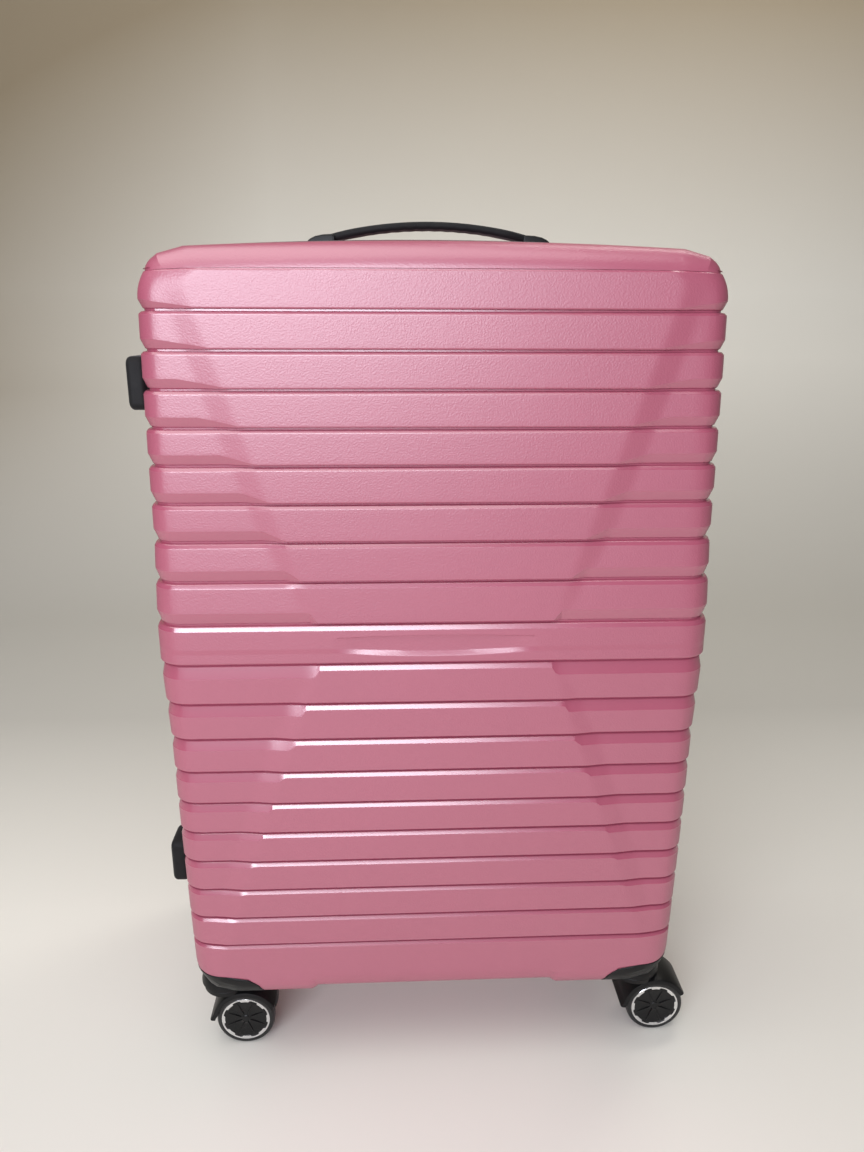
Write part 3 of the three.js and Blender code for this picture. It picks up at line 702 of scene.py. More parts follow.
def near(bm, lo, hi, margin=30):
    """Faces about a box, with their edges and corners."""
    (x0, y0, z0), (x1, y1, z1) = lo, hi

    def touches(face):
        x, y, z = face.verts[0].co
        beside = x0 - margin < x < x1 + margin and y0 - margin < y < y1 + margin
        return beside and z0 - margin < z < z1 + margin

    faces = [f for f in bm.faces if touches(f)]
    return faces + list({e for f in faces for e in f.edges}) + list({v for f in faces for v in f.verts})


def bisect(bm, lo, hi, point, normal):
    """Adds a cut along a plane, near a box only."""
    bmesh.ops.bisect_plane(bm, geom=near(bm, lo, hi), dist=1e-5, plane_co=point, plane_no=normal)


def open_box(bm, lo, hi):
    """Cuts a hole the shape of a box through the shell."""
    for axis in range(3):
        normal = [float(axis == k) for k in range(3)]
        for corner in (lo, hi):
            bisect(bm, lo, hi, corner, normal)
    inside = [f for f in bm.faces if all(a < c < b for a, c, b in zip(lo, f.calc_center_median(), hi))]
    bmesh.ops.delete(bm, geom=inside, context="FACES")


def corner_faces(bm, side, hand):
    """Cuts along the edge of a corner housing and returns the faces inside it."""
    lo, hi = np.sort(CORNER_REGION * (hand, side, 1), axis=0)
    bisect(bm, lo, hi, (0, side * HOUSING_Y, 0), (0, 1, 0))
    bisect(bm, lo, hi, (hand * CORNER_LINE[0, 0], 0, 0), (1, 0, 0))
    for (x0, z0), (x1, z1) in zip(CORNER_LINE[:-1], CORNER_LINE[1:]):
        bisect(bm, lo, hi, (hand * x0, 0, z0), (z0 - z1, 0, hand * (x1 - x0)))

    def inside(face):
        x, y, z = face.calc_center_median()
        line = np.interp(hand * x, CORNER_LINE[:, 0], CORNER_LINE[:, 1])
        return hand * x > CORNER_LINE[0, 0] and side * y > HOUSING_Y and z < line

    return [f for f in bm.faces if inside(f)]


def shell_object(bm, name, material, body, node, thickness):
    """Scales a shell bmesh to metres and gives it a wall."""
    for vert in bm.verts:
        vert.co *= MM
    mesh = bpy.data.meshes.new(name)
    write_mesh(bm, mesh, SHELL_SHARP)
    obj = bpy.data.objects.new(name, mesh)
    scene.collection.objects.link(obj)
    mesh.materials.append(material)
    wall = obj.modifiers.new("wall", "SOLIDIFY")
    wall.thickness = thickness * MM
    wall.offset = -1
    crisp = obj.modifiers.new("crisp", "WEIGHTED_NORMAL")
    crisp.keep_sharp = True
    crisp.weight = 100
    return attach(obj, body, node)


def split_off(bm, faces):
    """Moves faces to a new bmesh."""
    bm.faces.index_update()
    keep = {f.index for f in faces}
    copy = bm.copy()
    copy.faces.index_update()
    bmesh.ops.delete(copy, geom=[f for f in copy.faces if f.index not in keep], context="FACES")
    bmesh.ops.delete(bm, geom=faces, context="FACES")
    return copy


def push(bm, distance):
    """Moves every point along its normal."""
    bm.normal_update()
    moves = [(v, v.normal * distance) for v in bm.verts]
    for vert, move in moves:
        vert.co += move


def box_of(node, grow=0.0):
    """Low and high corner of a CAD node in mm."""
    lo, hi = (np.array(corner, float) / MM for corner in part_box(node))
    return lo - grow, hi + grow


def centre_of(node):
    """Middle of a CAD node's box in mm."""
    return sum(box_of(node)) / 2


def half_of(node):
    """Half the size of a CAD node's box in mm, on each axis."""
    lo, hi = box_of(node)
    return (hi - lo) / 2


def bow(bm):
    """Moves the side walls out, most half way up and away from the seam."""
    for vert in bm.verts:
        x, y, z = vert.co
        height = min(1.0, abs(z - BOW_Z) / BOW_REACH)
        share = float(ramp(abs(y), SEAM_Y, WALL_Y))
        vert.co.x += FRONT_BOW * (1 - height**2) * share * (x / HALF_WIDTH) ** 3


def build_shell(side, word, body):
    """One half shell and its two corner housings; the rear one is open for the bezel and the lock."""
    bm = shell_mesh(side)
    for hand, hand_word in ((-1, "left"), (1, "right")):
        housing = split_off(bm, corner_faces(bm, side, hand))
        if side < 0:
            bow(housing)
        push(housing, HOUSING_PROUD)
        node = f"corner_housing_{word}_{hand_word}"
        shell_object(housing, node + "_skin", BLACK, body, node, HOUSING_WALL)
    if side > 0:
        lo, hi = box_of("trolley_bezel", GAP)
        open_box(bm, lo, [hi[0], hi[1], ABOVE_CROWN])
        lo, hi = box_of("lock_body", GAP)
        open_box(bm, lo, [BESIDE_SHELL, hi[1], hi[2]])
    else:
        bow(bm)
    shell_object(bm, f"{word}_shell_ribbed", PINK, body, f"{word}_shell", SHELL_WALL)


build_shell(-1, "front", "front_half")
build_shell(1, "rear", "rear_half")


# ---------------------------------------------------------------- casters
def joint_at(name):
    """A joint's point in mm."""
    found = next(j for j in frame["joints"] if j["name"] == name)
    return np.array(found["pos_m"]) / MM


WHEEL_R = box_of("wheel_front_left_outer")[1][2] / 2
WHEEL_HALF = 7.0
RING_PADS = 8


def pads(radius, angle):
    """Widens the plated ring inwards at each pad."""
    if radius > 22.8:
        return 0.0
    return -1.7 * float(ease(math.cos(RING_PADS * angle), -0.25, 0.15))


def petals(radius, angle):
    """Scallops the rim of the hub cap between the pads."""
    return 0.5 * math.cos(RING_PADS * angle + math.pi) if radius > 20 else 0.0


def wheel(name, outward):
    """Tyre, plated ring with pads, and a dished hub cap with ribs."""
    centre = centre_of(name)
    half = half_of(name)[1]
    rim = WHEEL_R

    def facing(profile):
        return [(r, outward * a * half / WHEEL_HALF) for r, a in profile]

    tyre = [(19.5, -5.6), (22, -6.4), (rim - 3.6, -7), (rim - 1.2, -6.2), (rim - 0.25, -4.6), (rim, -2.6),
            (rim, -0.7), (rim - 0.5, -0.35), (rim - 0.5, 0.35), (rim, 0.7), (rim, 2.6), (rim - 0.25, 4.6),
            (rim - 1.2, 6.3), (rim - 2.9, 7), (rim - 4.2, 6.8), (rim - 4.8, 6.0), (19.5, 5.2)]
    plated = [(24.4, 5.0), (24.4, 6.3), (24.0, 6.7), (23.2, 6.7), (22.6, 6.4), (22.4, 5.0)]
    hub = [(0.02, 6.2), (3.6, 6.1), (4.4, 5.4), (7.6, 5.0), (12, 5.1), (17.5, 5.5), (20.4, 5.9), (21.4, 5.6),
           (21.7, 5.0), (21.7, -5.0), (0.02, -5.0)]
    piece = Piece().lathe(facing(tyre), centre, sides=72)
    piece.mark = 1
    piece.lathe(facing(plated), centre, sides=144, scallop=pads)
    piece.mark = 2
    piece.lathe(facing(hub), centre, sides=96, scallop=petals)
    spoke = Piece().block((5.0, 4.6, -0.55), (19.6, 6.1, 0.55), axis="x", corner=0.4, edge=0.4, steps=2)
    spoke.points = [points * (1, outward * half / WHEEL_HALF, 1) for points in spoke.points]
    piece.fan(spoke, RING_PADS, centre, (0, 2))
    piece.build(name + "_detailed", [TYRE, CHROME, SATIN], name, name, "wheel_tyre")


def arc(radius, start, end, steps):
    """Points on a circle, between two angles in degrees."""
    angles = np.radians(np.linspace(start, end, steps + 1))
    return np.stack([radius * np.cos(angles), radius * np.sin(angles)], 1)


def yoke(name, pivot, hub):
    """Turntable, stem and fender with rolled edges; the fender ends in a small tail."""
    piece = Piece()
    top = box_of(name)[1][2]
    section = [(33.4, -19.0), (33.4, 19.0), (32.7, 20.8), (31.2, 21.5), (28.6, 21.5), (28.2, 21.0),
               (28.6, 20.5), (30.4, 20.4), (30.9, 19.4), (30.9, -19.4), (30.4, -20.4), (28.6, -20.5),
               (28.2, -21.0), (28.6, -21.5), (31.2, -21.5), (32.7, -20.8)]
    rings = []
    reach, across = np.array(section).T
    for degrees in np.concatenate([np.linspace(28, 168, 30), [172, 175, 177, 178]]):
        angle = math.radians(degrees)
        radius = reach + 2.2 * float(ease(degrees, 166, 178))
        rings.append(ring(radius * math.cos(angle), across, radius * math.sin(angle)) + hub)
    piece.loft(rings)
    web = np.concatenate([arc(32, 40, 174, 16), arc(9.5, 174, 400, 14)])
    levels = [(-4.6, 0.98), (-4.2, 1.0), (4.2, 1.0), (4.6, 0.98)]
    piece.loft([ring(web[:, 0] * size, y, web[:, 1] * size) + hub for y, size in levels])
    disc = [(0.02, 59.0), (21.5, 59.0), (23.0, 60.0), (23.0, 64.2), (22.2, 65.2), (9.0, 65.4), (8.0, 66.5),
            (8.0, top - 1), (7.2, top), (0.02, top)]
    piece.lathe(disc, (pivot[0], pivot[1], 0), axis="z", sides=48)
    neck = [(6, 56), (17, 57.5), (20.5, 60.5), (6, 60.5)]
    piece.lathe(neck, (pivot[0] + 4, pivot[1], 0), axis="z", sides=36)
    piece.build(name + "_detailed", BLACK, name.replace("_yoke", ""), name, "black_plastic")


def axle(name, body):
    """A pin with domed heads."""
    _, reach, radius = half_of(name)
    reach -= 2.0
    profile = [(0.02, -reach), (radius - 0.6, -reach), (radius, -reach + 0.6), (radius, reach - 0.6),
               (radius - 0.6, reach), (0.02, reach)]
    piece = Piece().lathe(profile, centre_of(name), sides=24)
    piece.build(name + "_pin", STEEL, body, name, "bright_steel")


def caster_seat(name, body, pivot):
    """The round base of a corner housing, which the turntable turns under."""
    profile = [(10, 65.8), (24, 65.8), (25, 66.8), (25, 69), (24, 72), (22, 80), (13, 88), (10, 88)]
    piece = Piece().lathe(profile, (pivot[0], pivot[1], 0), axis="z", sides=64)
    piece.build(name, BLACK, body, None, "black_plastic")


for word, half_body in (("front", "front_half"), ("rear", "rear_half")):
    for hand in ("left", "right"):
        corner = f"{word}_{hand}"
        pivot = joint_at(f"caster_{corner}_swivel")
        yoke(f"caster_yoke_{corner}", pivot, centre_of(f"caster_axle_{corner}"))
        axle(f"caster_axle_{corner}", f"caster_{corner}")
        caster_seat(f"caster_seat_{corner}", half_body, pivot)
        away = 1 if word == "rear" else -1
        wheel(f"wheel_{corner}_outer", away)
        wheel(f"wheel_{corner}_inner", -away)


# ---------------------------------------------------------------- side feet
def side_foot(name, body):
    """A rubber block with three shallow ribs on its outer face."""
    lo, hi = box_of(name)
    piece = Piece().block(lo + (0.6, 0, 0), hi, axis="x", corner=6, edge=4.5, steps=6)
    for k in (-1, 0, 1):
        y = (lo[1] + hi[1]) / 2 + k * 9.0
        rib = (lo[0], y - 2.2, lo[2] + 8), (lo[0] + 6, y + 2.2, hi[2] - 8)
        piece.block(*rib, axis="x", corner=2.2, edge=1.0)
    piece.build(name + "_block", RUBBER, body, name, "black_rubber")


for level in ("upper", "lower"):
    side_foot(f"side_foot_front_{level}", "front_half")
    side_foot(f"side_foot_rear_{level}", "rear_half")


# ---------------------------------------------------------------- carry handles, in their own frame
GRIP_REACH, GRIP_RISE, GRIP_END = 105.0, 14.5, 6.0
CAP_X = (88.0, 113.0)


def on_crown(points):
    """From the handles' own frame to the top handle's place."""
    y = centre_of("top_handle_grip")[1]
    return np.asarray(points, float) + (0, y, box_of("top_handle_grip")[1][2] - GRIP_RISE - GRIP_END)


def on_side(points):
    """From the handles' own frame to the side handle's place, where the grip runs down."""
    middle = centre_of("side_handle_grip")
    x, y, z = np.asarray(points, float).T
    base = box_of("side_handle_grip")[1][0] - GRIP_RISE - GRIP_END
    return np.stack([z + base, y + middle[1], -x + middle[2]], 1)


def grip(name, body, turn):
    """An arched bar with a soft skin, a moulding line and finger ribs underneath."""
    t = np.linspace(-1, 1, 73)
    radius = (GRIP_REACH**2 + GRIP_RISE**2) / (2 * GRIP_RISE)
    x = GRIP_REACH * t
    z = GRIP_END + GRIP_RISE - radius + np.sqrt(radius**2 - x**2) - 3.5
    sections = []
    for k, value in enumerate(t):
        wide = lerp(12.0, 8.0, float(ease(abs(value), 0.68, 0.9)))
        ridge = 0.35 * (0.5 + 0.5 * math.cos(math.tau * k / 4)) * float(ease(abs(value), 0.62, 0.5))
        loop = rounded_loop(3.5, wide, 3.4, 6)
        loop[:, 0] = np.where(loop[:, 0] < 0, loop[:, 0] + ridge, loop[:, 0])
        sections.append(loop)
    piece = Piece().sweep(np.stack([x, 0 * x, z], 1), sections, up=(0, 0, 1))
    for end in (-1, 1):
        lo, hi = sorted((end * (GRIP_REACH - 6), end * GRIP_REACH))
        piece.block((lo, -8, -13), (hi, 8, GRIP_END - 2), corner=1, edge=0.8)
    piece.build(name + "_soft", RUBBER, body, name, "black_rubber", turn=turn)


def grip_cap(name, end, turn):
    """Two cheeks joined round the outer end, over a socket in the shell."""
    x0, x1 = sorted((end * CAP_X[0], end * CAP_X[1]))
    outer = sorted((end * 106.2, end * CAP_X[1]))
    piece = Piece()
    for cheek in (-1, 1):
        y0, y1 = sorted((cheek * 8.7, cheek * 14))
        piece.loft(cheek_rings(end, y0, y1))
    piece.block((outer[0], -14, -15), (outer[1], 14, 2.6), corner=3, edge=1.6)
    piece.block((x0 + 1, -12, -16), (x1 - 1, 12, -13.9), corner=3, edge=0.8)
    piece.block((x0 + 1, -12, -15), (x0 + 4, 12, -1.4), corner=1, edge=0.6)
    piece.build(name + "_cheeks", BLACK, "rear_half", name, "black_plastic", turn=turn)


def cheek_rings(end, y0, y1):
    """Sections along one cheek, which falls from the grip down to the shell."""
    tops = [(CAP_X[0], 7.6), (CAP_X[0] + 0.7, 8.6), (CAP_X[0] + 2, 9.0), (98, 8.6), (105, 7.2), (109.5, 5.2),
            (111.8, 3.4), (113, 1.2)]
    middle, half = (y0 + y1) / 2, (y1 - y0) / 2
    rings = []
    for x, top in tops:
        loop = rounded_loop((top + 14) / 2, half, 1.6, 4)
        rings.append(ring(end * x, loop[:, 1] + middle, loop[:, 0] + (top - 14) / 2))
    return rings


grip("top_handle_grip", "top_handle", on_crown)
grip_cap("top_handle_cap_left", -1, on_crown)
grip_cap("top_handle_cap_right", 1, on_crown)
grip("side_handle_grip", "side_handle", on_side)
grip_cap("side_handle_cap_upper", -1, on_side)
grip_cap("side_handle_cap_lower", 1, on_side)


# ---------------------------------------------------------------- telescopic handle
def rounded_tray(levels, centre):
    """Rings of (half x, half y, radius, z) for a loft about centre."""
    loops = [(rounded_loop(hx, hy, r, 6) + centre[:2], z) for hx, hy, r, z in levels]
    return [ring(loop[:, 0], loop[:, 1], z) for loop, z in loops]


def tube(name, body, radius, wall):
    """A hollow drawn tube with round corners."""
    lo, hi = box_of(name)
    hx, hy, _ = half_of(name)
    levels = [(hx - inset, hy - inset, radius - inset, z) for inset, z in (
        (0, lo[2]), (0, hi[2] - 0.3), (0.3, hi[2]), (wall, hi[2]), (wall, lo[2] + 2))]
    piece = Piece().loft(rounded_tray(levels, centre_of(name)))
    piece.build(name + "_drawn", TUBE, body, name, "tube_aluminium")


def bezel():
    """The tray in the crown that the grip drops into, with a rolled rim and a collar round each tube."""
    name = "trolley_bezel"
    lo, hi = box_of(name)
    hx, hy, _ = half_of(name)
    floor = box_of("mid_tube_left")[1][2]
    levels = [(hx - across, hy - along, radius, z) for across, along, radius, z in (
        (2, 2, 6, lo[2]), (2, 2, 6, hi[2] - 7), (0, 0, 8, hi[2] - 4), (0, 0, 8, hi[2] - 1.4),
        (0.5, 0.5, 7.6, hi[2] - 0.4), (1.6, 1.6, 7, hi[2]), (10, 3, 6, hi[2]), (12, 3.8, 5, hi[2] - 0.5),
        (13.4, 4, 5, hi[2] - 2.5), (14, 4, 5, floor + 2), (15.5, 5, 4, floor))]
    piece = Piece().loft(rounded_tray(levels, centre_of(name)))
    for tube_name in ("mid_tube_left", "mid_tube_right"):
        collar = [(15, 8.6, 4, floor - 1), (15, 8.6, 4, floor + 0.5), (14.4, 8.0, 3.6, floor + 0.9),
                  (11.4, 6.4, 2.4, floor + 0.9), (11.2, 6.2, 2.2, floor - 1)]
        piece.loft(rounded_tray(collar, centre_of(tube_name)))
    piece.build(name + "_tray", BLACK, "rear_half", name, "black_plastic")


def trolley_grip():
    """A bar with a full round back, finger hollows underneath and a pocket for the button."""
    name = "trolley_grip"
    half, centre = half_of(name), centre_of(name)
    button_lo, button_hi = box_of("trolley_button", 0.5)
    rings = []
    ends = np.array([0.95, 0.975, 0.992, 1])
    for t in np.concatenate([-ends[::-1], np.linspace(-0.92, 0.92, 47), ends]):
        x = centre[0] + t * half[0]
        shrink = 3.5 * float(ease(abs(t), 0.94, 1.0)) ** 2
        hollow = 1.1 * (0.5 - 0.5 * math.cos(math.tau * 2.0 * (t + 1))) * float(ease(abs(t), 0.6, 0.45))
        loop = rounded_loop(half[1] - shrink, half[2] - shrink, 7.5 - shrink, 6)
        z = loop[:, 1] + centre[2]
        z = np.where(loop[:, 1] < -3, z + hollow, z)
        rings.append(ring(x, loop[:, 0] + centre[1], z))
    obj = Piece().loft(rings).build(name + "_bar", SATIN, "trolley_top", name, "black_plastic")
    carve(obj, Piece().block(button_lo, (*button_hi[:2], ABOVE_CROWN), corner=4, edge=0.2))


def carve(obj, cutter):
    """Cuts a closed piece out of an object."""
    mesh = bpy.data.meshes.new("cutter")
    mesh.from_pydata((np.concatenate(cutter.points) * MM).tolist(), [], cutter.faces)
    tidy_mesh(mesh, 30)
    tool = bpy.data.objects.new("cutter", mesh)
    scene.collection.objects.link(tool)
    cut = obj.modifiers.new("cut", "BOOLEAN")
    cut.operation, cut.object, cut.solver = "DIFFERENCE", tool, "EXACT"
    result = bpy.data.meshes.new_from_object(obj.evaluated_get(bpy.context.evaluated_depsgraph_get()))
    obj.modifiers.clear()
    obj.data = result
    bpy.data.objects.remove(tool)
    tidy_mesh(result, 38)


def button():
    """The button in the telescopic handle's grip, with three ribs for the thumb."""
    name = "trolley_button"
    lo, hi = box_of(name)
    piece = Piece().block(lo, hi, corner=3.6, edge=1.1, steps=5)
    for k in (-1, 0, 1):
        rib = (k * 4 - 0.7, lo[1] + 2, hi[2] - 0.6), (k * 4 + 0.7, hi[1] - 2, hi[2] + 0.25)
        piece.block(*rib, corner=0.6, edge=0.4)
    piece.build(name + "_key", BLACK, name, name, "black_plastic")


for hand in ("left", "right"):
    tube(f"outer_tube_{hand}", "rear_half", 3.2, 1.1)
    tube(f"mid_tube_{hand}", "trolley_mid", 2.6, 1.0)
    tube(f"inner_tube_{hand}", "trolley_top", 2.2, 0.9)
bezel()
trolley_grip()
button()


# ---------------------------------------------------------------- combination lock
DIAL_FACETS = 10
LOCK_OUTSIDE = 260.0


def knurl(radius, angle):
    """Shallow hollows between the numbers round a dial's rim."""
    return -0.35 * (0.5 + 0.5 * math.cos(DIAL_FACETS * angle)) if radius > 6.5 else 0.0


def lock():
    """Housing with dial windows, a release recess and a key hole, each cut through its face."""
    lo, hi = box_of("lock_body")
    piece = Piece().block(lo, hi - (0.6, 0, 0), axis="x", corner=5, edge=2.4, steps=5)
    obj = piece.build("lock_housing", BLACK, "rear_half", "lock_body", "black_plastic")
    for number in (1, 2, 3):
        dial_lo, dial_hi = box_of(f"lock_dial_{number}", 0.5)
        carve(obj, Piece().block(dial_lo, (LOCK_OUTSIDE, *dial_hi[1:]), axis="x", corner=0.8, edge=0.2))
    press_lo, press_hi = box_of("lock_release", 0.4)
    carve(obj, Piece().block(press_lo, (LOCK_OUTSIDE, *press_hi[1:]), axis="x", corner=2.4, edge=0.2))
    bottom = box_of("key_cylinder")[0][0] - 0.5
    hole = [(0.02, bottom), (5.4, bottom), (5.4, LOCK_OUTSIDE), (0.02, LOCK_OUTSIDE)]
    carve(obj, Piece().lathe(hole, centre_of("key_cylinder") * (0, 1, 1), axis="x", sides=40))


def lock_dial(number):
    """A knurled wheel with a steel mark on each of its ten faces."""
    name = f"lock_dial_{number}"
    r, _, h = half_of(name)
    centre = centre_of(name)
    profile = [(2.5, -h), (r - 1.2, -h), (r - 0.2, -h + 0.6), (r, -h + 1.2), (r, h - 1.2), (r - 0.2, h - 0.6),
               (r - 1.2, h), (2.5, h)]
    piece = Piece().lathe(profile, centre, axis="z", sides=80, scallop=knurl)
    piece.mark = 1
    mark = (r - 0.25, -0.28, -1.4), (r + 0.04, 0.28, 1.4)
    piece.fan(Piece().block(*mark, axis="x", corner=0.2, edge=0.03, steps=2), DIAL_FACETS, centre, (0, 1))
    piece.build(name + "_wheel", [SATIN, STEEL], name, name, "black_plastic")


def lock_release():
    """The button that frees the zip pulls, with three ribs."""
    name = "lock_release"
    lo, hi = box_of(name)
    piece = Piece().block(lo, hi - (0.2, 0, 0), axis="x", corner=2.2, edge=0.8, steps=4)
    for k in (-1, 0, 1):
        z = centre_of(name)[2] + k * 3
        rib = (hi[0] - 1, lo[1] + 2.5, z - 0.6), (hi[0], hi[1] - 2.5, z + 0.6)
        piece.block(*rib, axis="x", corner=0.6, edge=0.3)
    piece.build(name + "_key", SATIN, name, name, "black_plastic")


def key_cylinder():
    """A round plug with a slot for the key."""
    name = "key_cylinder"
    lo, hi = box_of(name)
    y, z = centre_of(name)[1:]
    face = hi[0]
    profile = [(0.02, lo[0]), (4.9, lo[0]), (4.9, face - 0.7), (4.3, face - 0.1), (3.4, face), (0.02, face)]
    piece = Piece().lathe(profile, (0, y, z), axis="x", sides=48)
    obj = piece.build(name + "_plug", STEEL, name, name, "bright_steel")
    slot = (245, y - 0.6, z - 3), (LOCK_OUTSIDE, y + 0.6, z + 3)
    carve(obj, Piece().block(*slot, axis="x", corner=0.3, edge=0.1))


lock()
for number in (1, 2, 3):
    lock_dial(number)
lock_release()
key_cylinder()


# ---------------------------------------------------------------- zip
def outline_loop(inset, counts=(96, 14, 150)):
    """Closed loop of (x, z) round the shell at an inset: sides, corners, crown and bottom."""
    n_side, n_arc, n_edge = counts
    reach = CORNER - inset
    top = np.radians(np.linspace(0, 90, n_arc + 1))
    side = np.linspace(LOWER_Z, UPPER_Z, n_side + 1)[:-1]
    right = np.stack([np.full(n_side, HALF_WIDTH - inset), side], 1)
    upper = np.stack([CORNER_X + reach * np.cos(top), UPPER_Z + reach * np.sin(top)], 1)[:-1]
    x = np.linspace(CORNER_X, -CORNER_X, n_edge + 1)[:-1]
    crown = np.stack([x, crown_edge(x) - inset], 1)
    left_arc = np.stack([-CORNER_X - reach * np.sin(top), UPPER_Z + reach * np.cos(top)], 1)[:-1]
    left = (-1, 1) * right[::-1] + (0, (UPPER_Z - LOWER_Z) / n_side)
    low_left = np.stack([-CORNER_X - reach * np.cos(top), LOWER_Z - reach * np.sin(top)], 1)[:-1]
    bottom = np.stack([x[::-1] - (x[0] - x[1]), bottom_edge(x[::-1]) + inset], 1)
    low_right = np.stack([CORNER_X + reach * np.sin(top), LOWER_Z - reach * np.cos(top)], 1)[:-1]
    return np.concatenate([right, upper, crown, left_arc, left, low_left, bottom, low_right])


def outline_ring(inset, y, **more):
    """The outline loop at a distance from the seam plane."""
    loop = outline_loop(inset, **more)
    return ring(loop[:, 0], y, loop[:, 1])


def zip_tape(side, word, body):
    """A turned band of cloth round the mouth of a half shell, with a stitched welt."""
    section = [(4.2, 0.6), (1.6, 0.35), (0.6, 0.4), (0.1, 0.7), (-0.1, 1.4), (0.1, 2.1), (0.05, 3.2),
               (-0.6, 3.8), (-0.7, 5.4), (-0.3, 6.3), (0.4, 6.6), (2.0, 6.6), (4.2, 6.4)]
    piece = Piece().loft([outline_ring(inset, side * y) for inset, y in section], loop=True)
    piece.build(f"{word}_zip_welt", TAPE, body, f"{word}_zip_tape", "zip_tape")


TOOTH_PITCH = 2.5
# Corners of one tooth: along the zip, out from the shell, and away from the seam.
TOOTH = np.array([
    (-0.5, -0.4, -0.7), (0.5, -0.4, -0.7), (0.62, -0.4, 2.1), (-0.62, -0.4, 2.1),
    (-0.36, 0.75, -0.5), (0.36, 0.75, -0.5), (0.42, 0.6, 2.0), (-0.42, 0.6, 2.0)])
TOOTH_FACES = [(0, 1, 2, 3), (7, 6, 5, 4), (0, 4, 5, 1), (1, 5, 6, 2), (2, 6, 7, 3), (3, 7, 4, 0)]


def zip_teeth(side, word, body):
    """The row of moulded teeth of one half of the zip, every other one of a meshed pair."""
    loop = outline_loop(0.0)
    closed = np.vstack([loop, loop[:1]])
    run = np.concatenate([[0], np.cumsum(np.linalg.norm(np.diff(closed, axis=0), axis=1))])
    total = run[-1]
    count = int(total / TOOTH_PITCH)

    def outline_at(s):
        return np.array([np.interp(s % total, run, closed[:, k]) for k in (0, 1)])

    piece = Piece()
    along, out, wide = TOOTH.T
    for k in range(count):
        s = ((k + (0.25 if side < 0 else 0.75)) % count) * total / count
        x, z = outline_at(s)
        tangent = outline_at(s + 1) - outline_at(s - 1)
        tx, tz = tangent / np.linalg.norm(tangent)
        piece.add(ring(x + along * tx + out * tz, side * wide, z + along * tz - out * tx), TOOTH_FACES)
    piece.build(f"{word}_zip_teeth", TEETH, body, None, "zip_tape", sharp=20)


PULL_PIN = (251.3, 4.2, 0.0)


def zip_slider(level):
    """Two plates on a neck, with lugs that hold the pull's pin."""
    name = f"zip_slider_{level}"
    lo, hi = box_of(name)
    z = centre_of(name)[2]
    piece = Piece().block((lo[0] + 0.2, -5.8, lo[2]), (lo[0] + 3.7, 5.8, hi[2]), axis="x", corner=3.4)
    upper = (lo[0] + 2.6, -4.4, lo[2] + 1.6), (lo[0] + 4.4, 4.4, hi[2] - 1.6)
    piece.block(*upper, axis="x", corner=2.6, edge=0.8)
    for a, b in ((z - 6.6, z - 4.3), (z + 4.3, z + 6.6)):
        piece.block((PULL_PIN[0] - 4.8, 2.5, a), (hi[0], 5.9, b), corner=1.6, edge=0.4)
    pin = [(0.02, z - 5.6), (0.8, z - 5.6), (0.8, z + 5.6), (0.02, z + 5.6)]
    piece.lathe(pin, PULL_PIN, axis="z", sides=16)
    piece.build(name + "_cast", STEEL, name, name, "bright_steel")


def zip_pull(level):
    """A flat tab with a rounded end, an eye on its pin and grip ridges."""
    name = f"zip_pull_{level}"
    end = box_of(name)[1][1]
    x, z = PULL_PIN[0], centre_of(name)[2]
    tab = (x - 0.6, 6.5, z - 3.8), (x + 0.6, end, z + 3.8)
    piece = Piece().block(*tab, axis="x", corner=3.6, edge=0.45, steps=5)
    piece.block((x - 0.55, 4.0, z - 2.4), (x + 0.55, 9.5, z + 2.4), axis="x", edge=0.3, corner=1.0)
    eye = [(0.9, z - 3.7), (1.4, z - 3.4), (1.4, z + 3.4), (0.9, z + 3.7)]
    piece.lathe(eye, PULL_PIN, axis="z", sides=24)
    for k in range(5):
        y = 18 + k * 3.2
        ridge = (x - 0.75, y, z - 2.4), (x + 0.7, y + 1.2, z + 2.4)
        piece.block(*ridge, axis="x", corner=0.5, edge=0.3, steps=2)
    piece.build(name + "_tab", SATIN, name, name, "black_plastic")


for side, word, body in ((-1, "front", "front_half"), (1, "rear", "rear_half")):
    zip_tape(side, word, body)
    zip_teeth(side, word, body)
for level in ("upper", "lower"):
    zip_slider(level)
    zip_pull(level)


# ---------------------------------------------------------------- cloth inside
LINING_MOUTH = 4.7
TUNNEL_HALF, TUNNEL_Y, TUNNEL_ROUND, TUNNEL_BACK = 92.0, 92.0, 8.0, 139.0


def wrinkle(points, seed, height, wave):
    """Smooth uneven offsets, the same on every run."""
    rng = np.random.default_rng(seed)
    total = np.zeros(len(points))
    for k in range(9):
        direction = rng.normal(size=3)
        direction /= np.linalg.norm(direction)
        phase = points @ direction * math.tau / (wave * (1 + k / 3)) + rng.uniform(0, 6.28)
        total += math.sin(k) * 0.1 + np.sin(phase) / (1 + k / 2)
    return total * height / 3


def lining_rings():
    """Rings from the mouth along the walls and round the bend, then in towards the back panel's middle."""
    levels = [(LINING_MOUTH, 6.5), (LINER_GAP - 0.6, 6.5), (LINER_GAP, 7.2), (LINER_GAP, 10)]
    depths = np.linspace(14, WALL_Y - 6, 14)
    levels += [(LINER_GAP + DRAFT * (y - SEAM_Y) / (WALL_Y - SEAM_Y), y) for y in depths]
    radius = FILLET - 6
    levels += [(FACE_INSET + 2 - radius * math.cos(a), WALL_Y - 6 + radius * math.sin(a))
               for a in np.linspace(0.15, 1.57, 8)]
    rings = [outline_ring(inset, y, counts=(60, 8, 50)) for inset, y in levels]
    edge, centre = rings[-1], lining_centre(rings)
    return rings + [edge * (1 - f) + centre * f for f in np.linspace(0, 1, 22)[1:-1]]


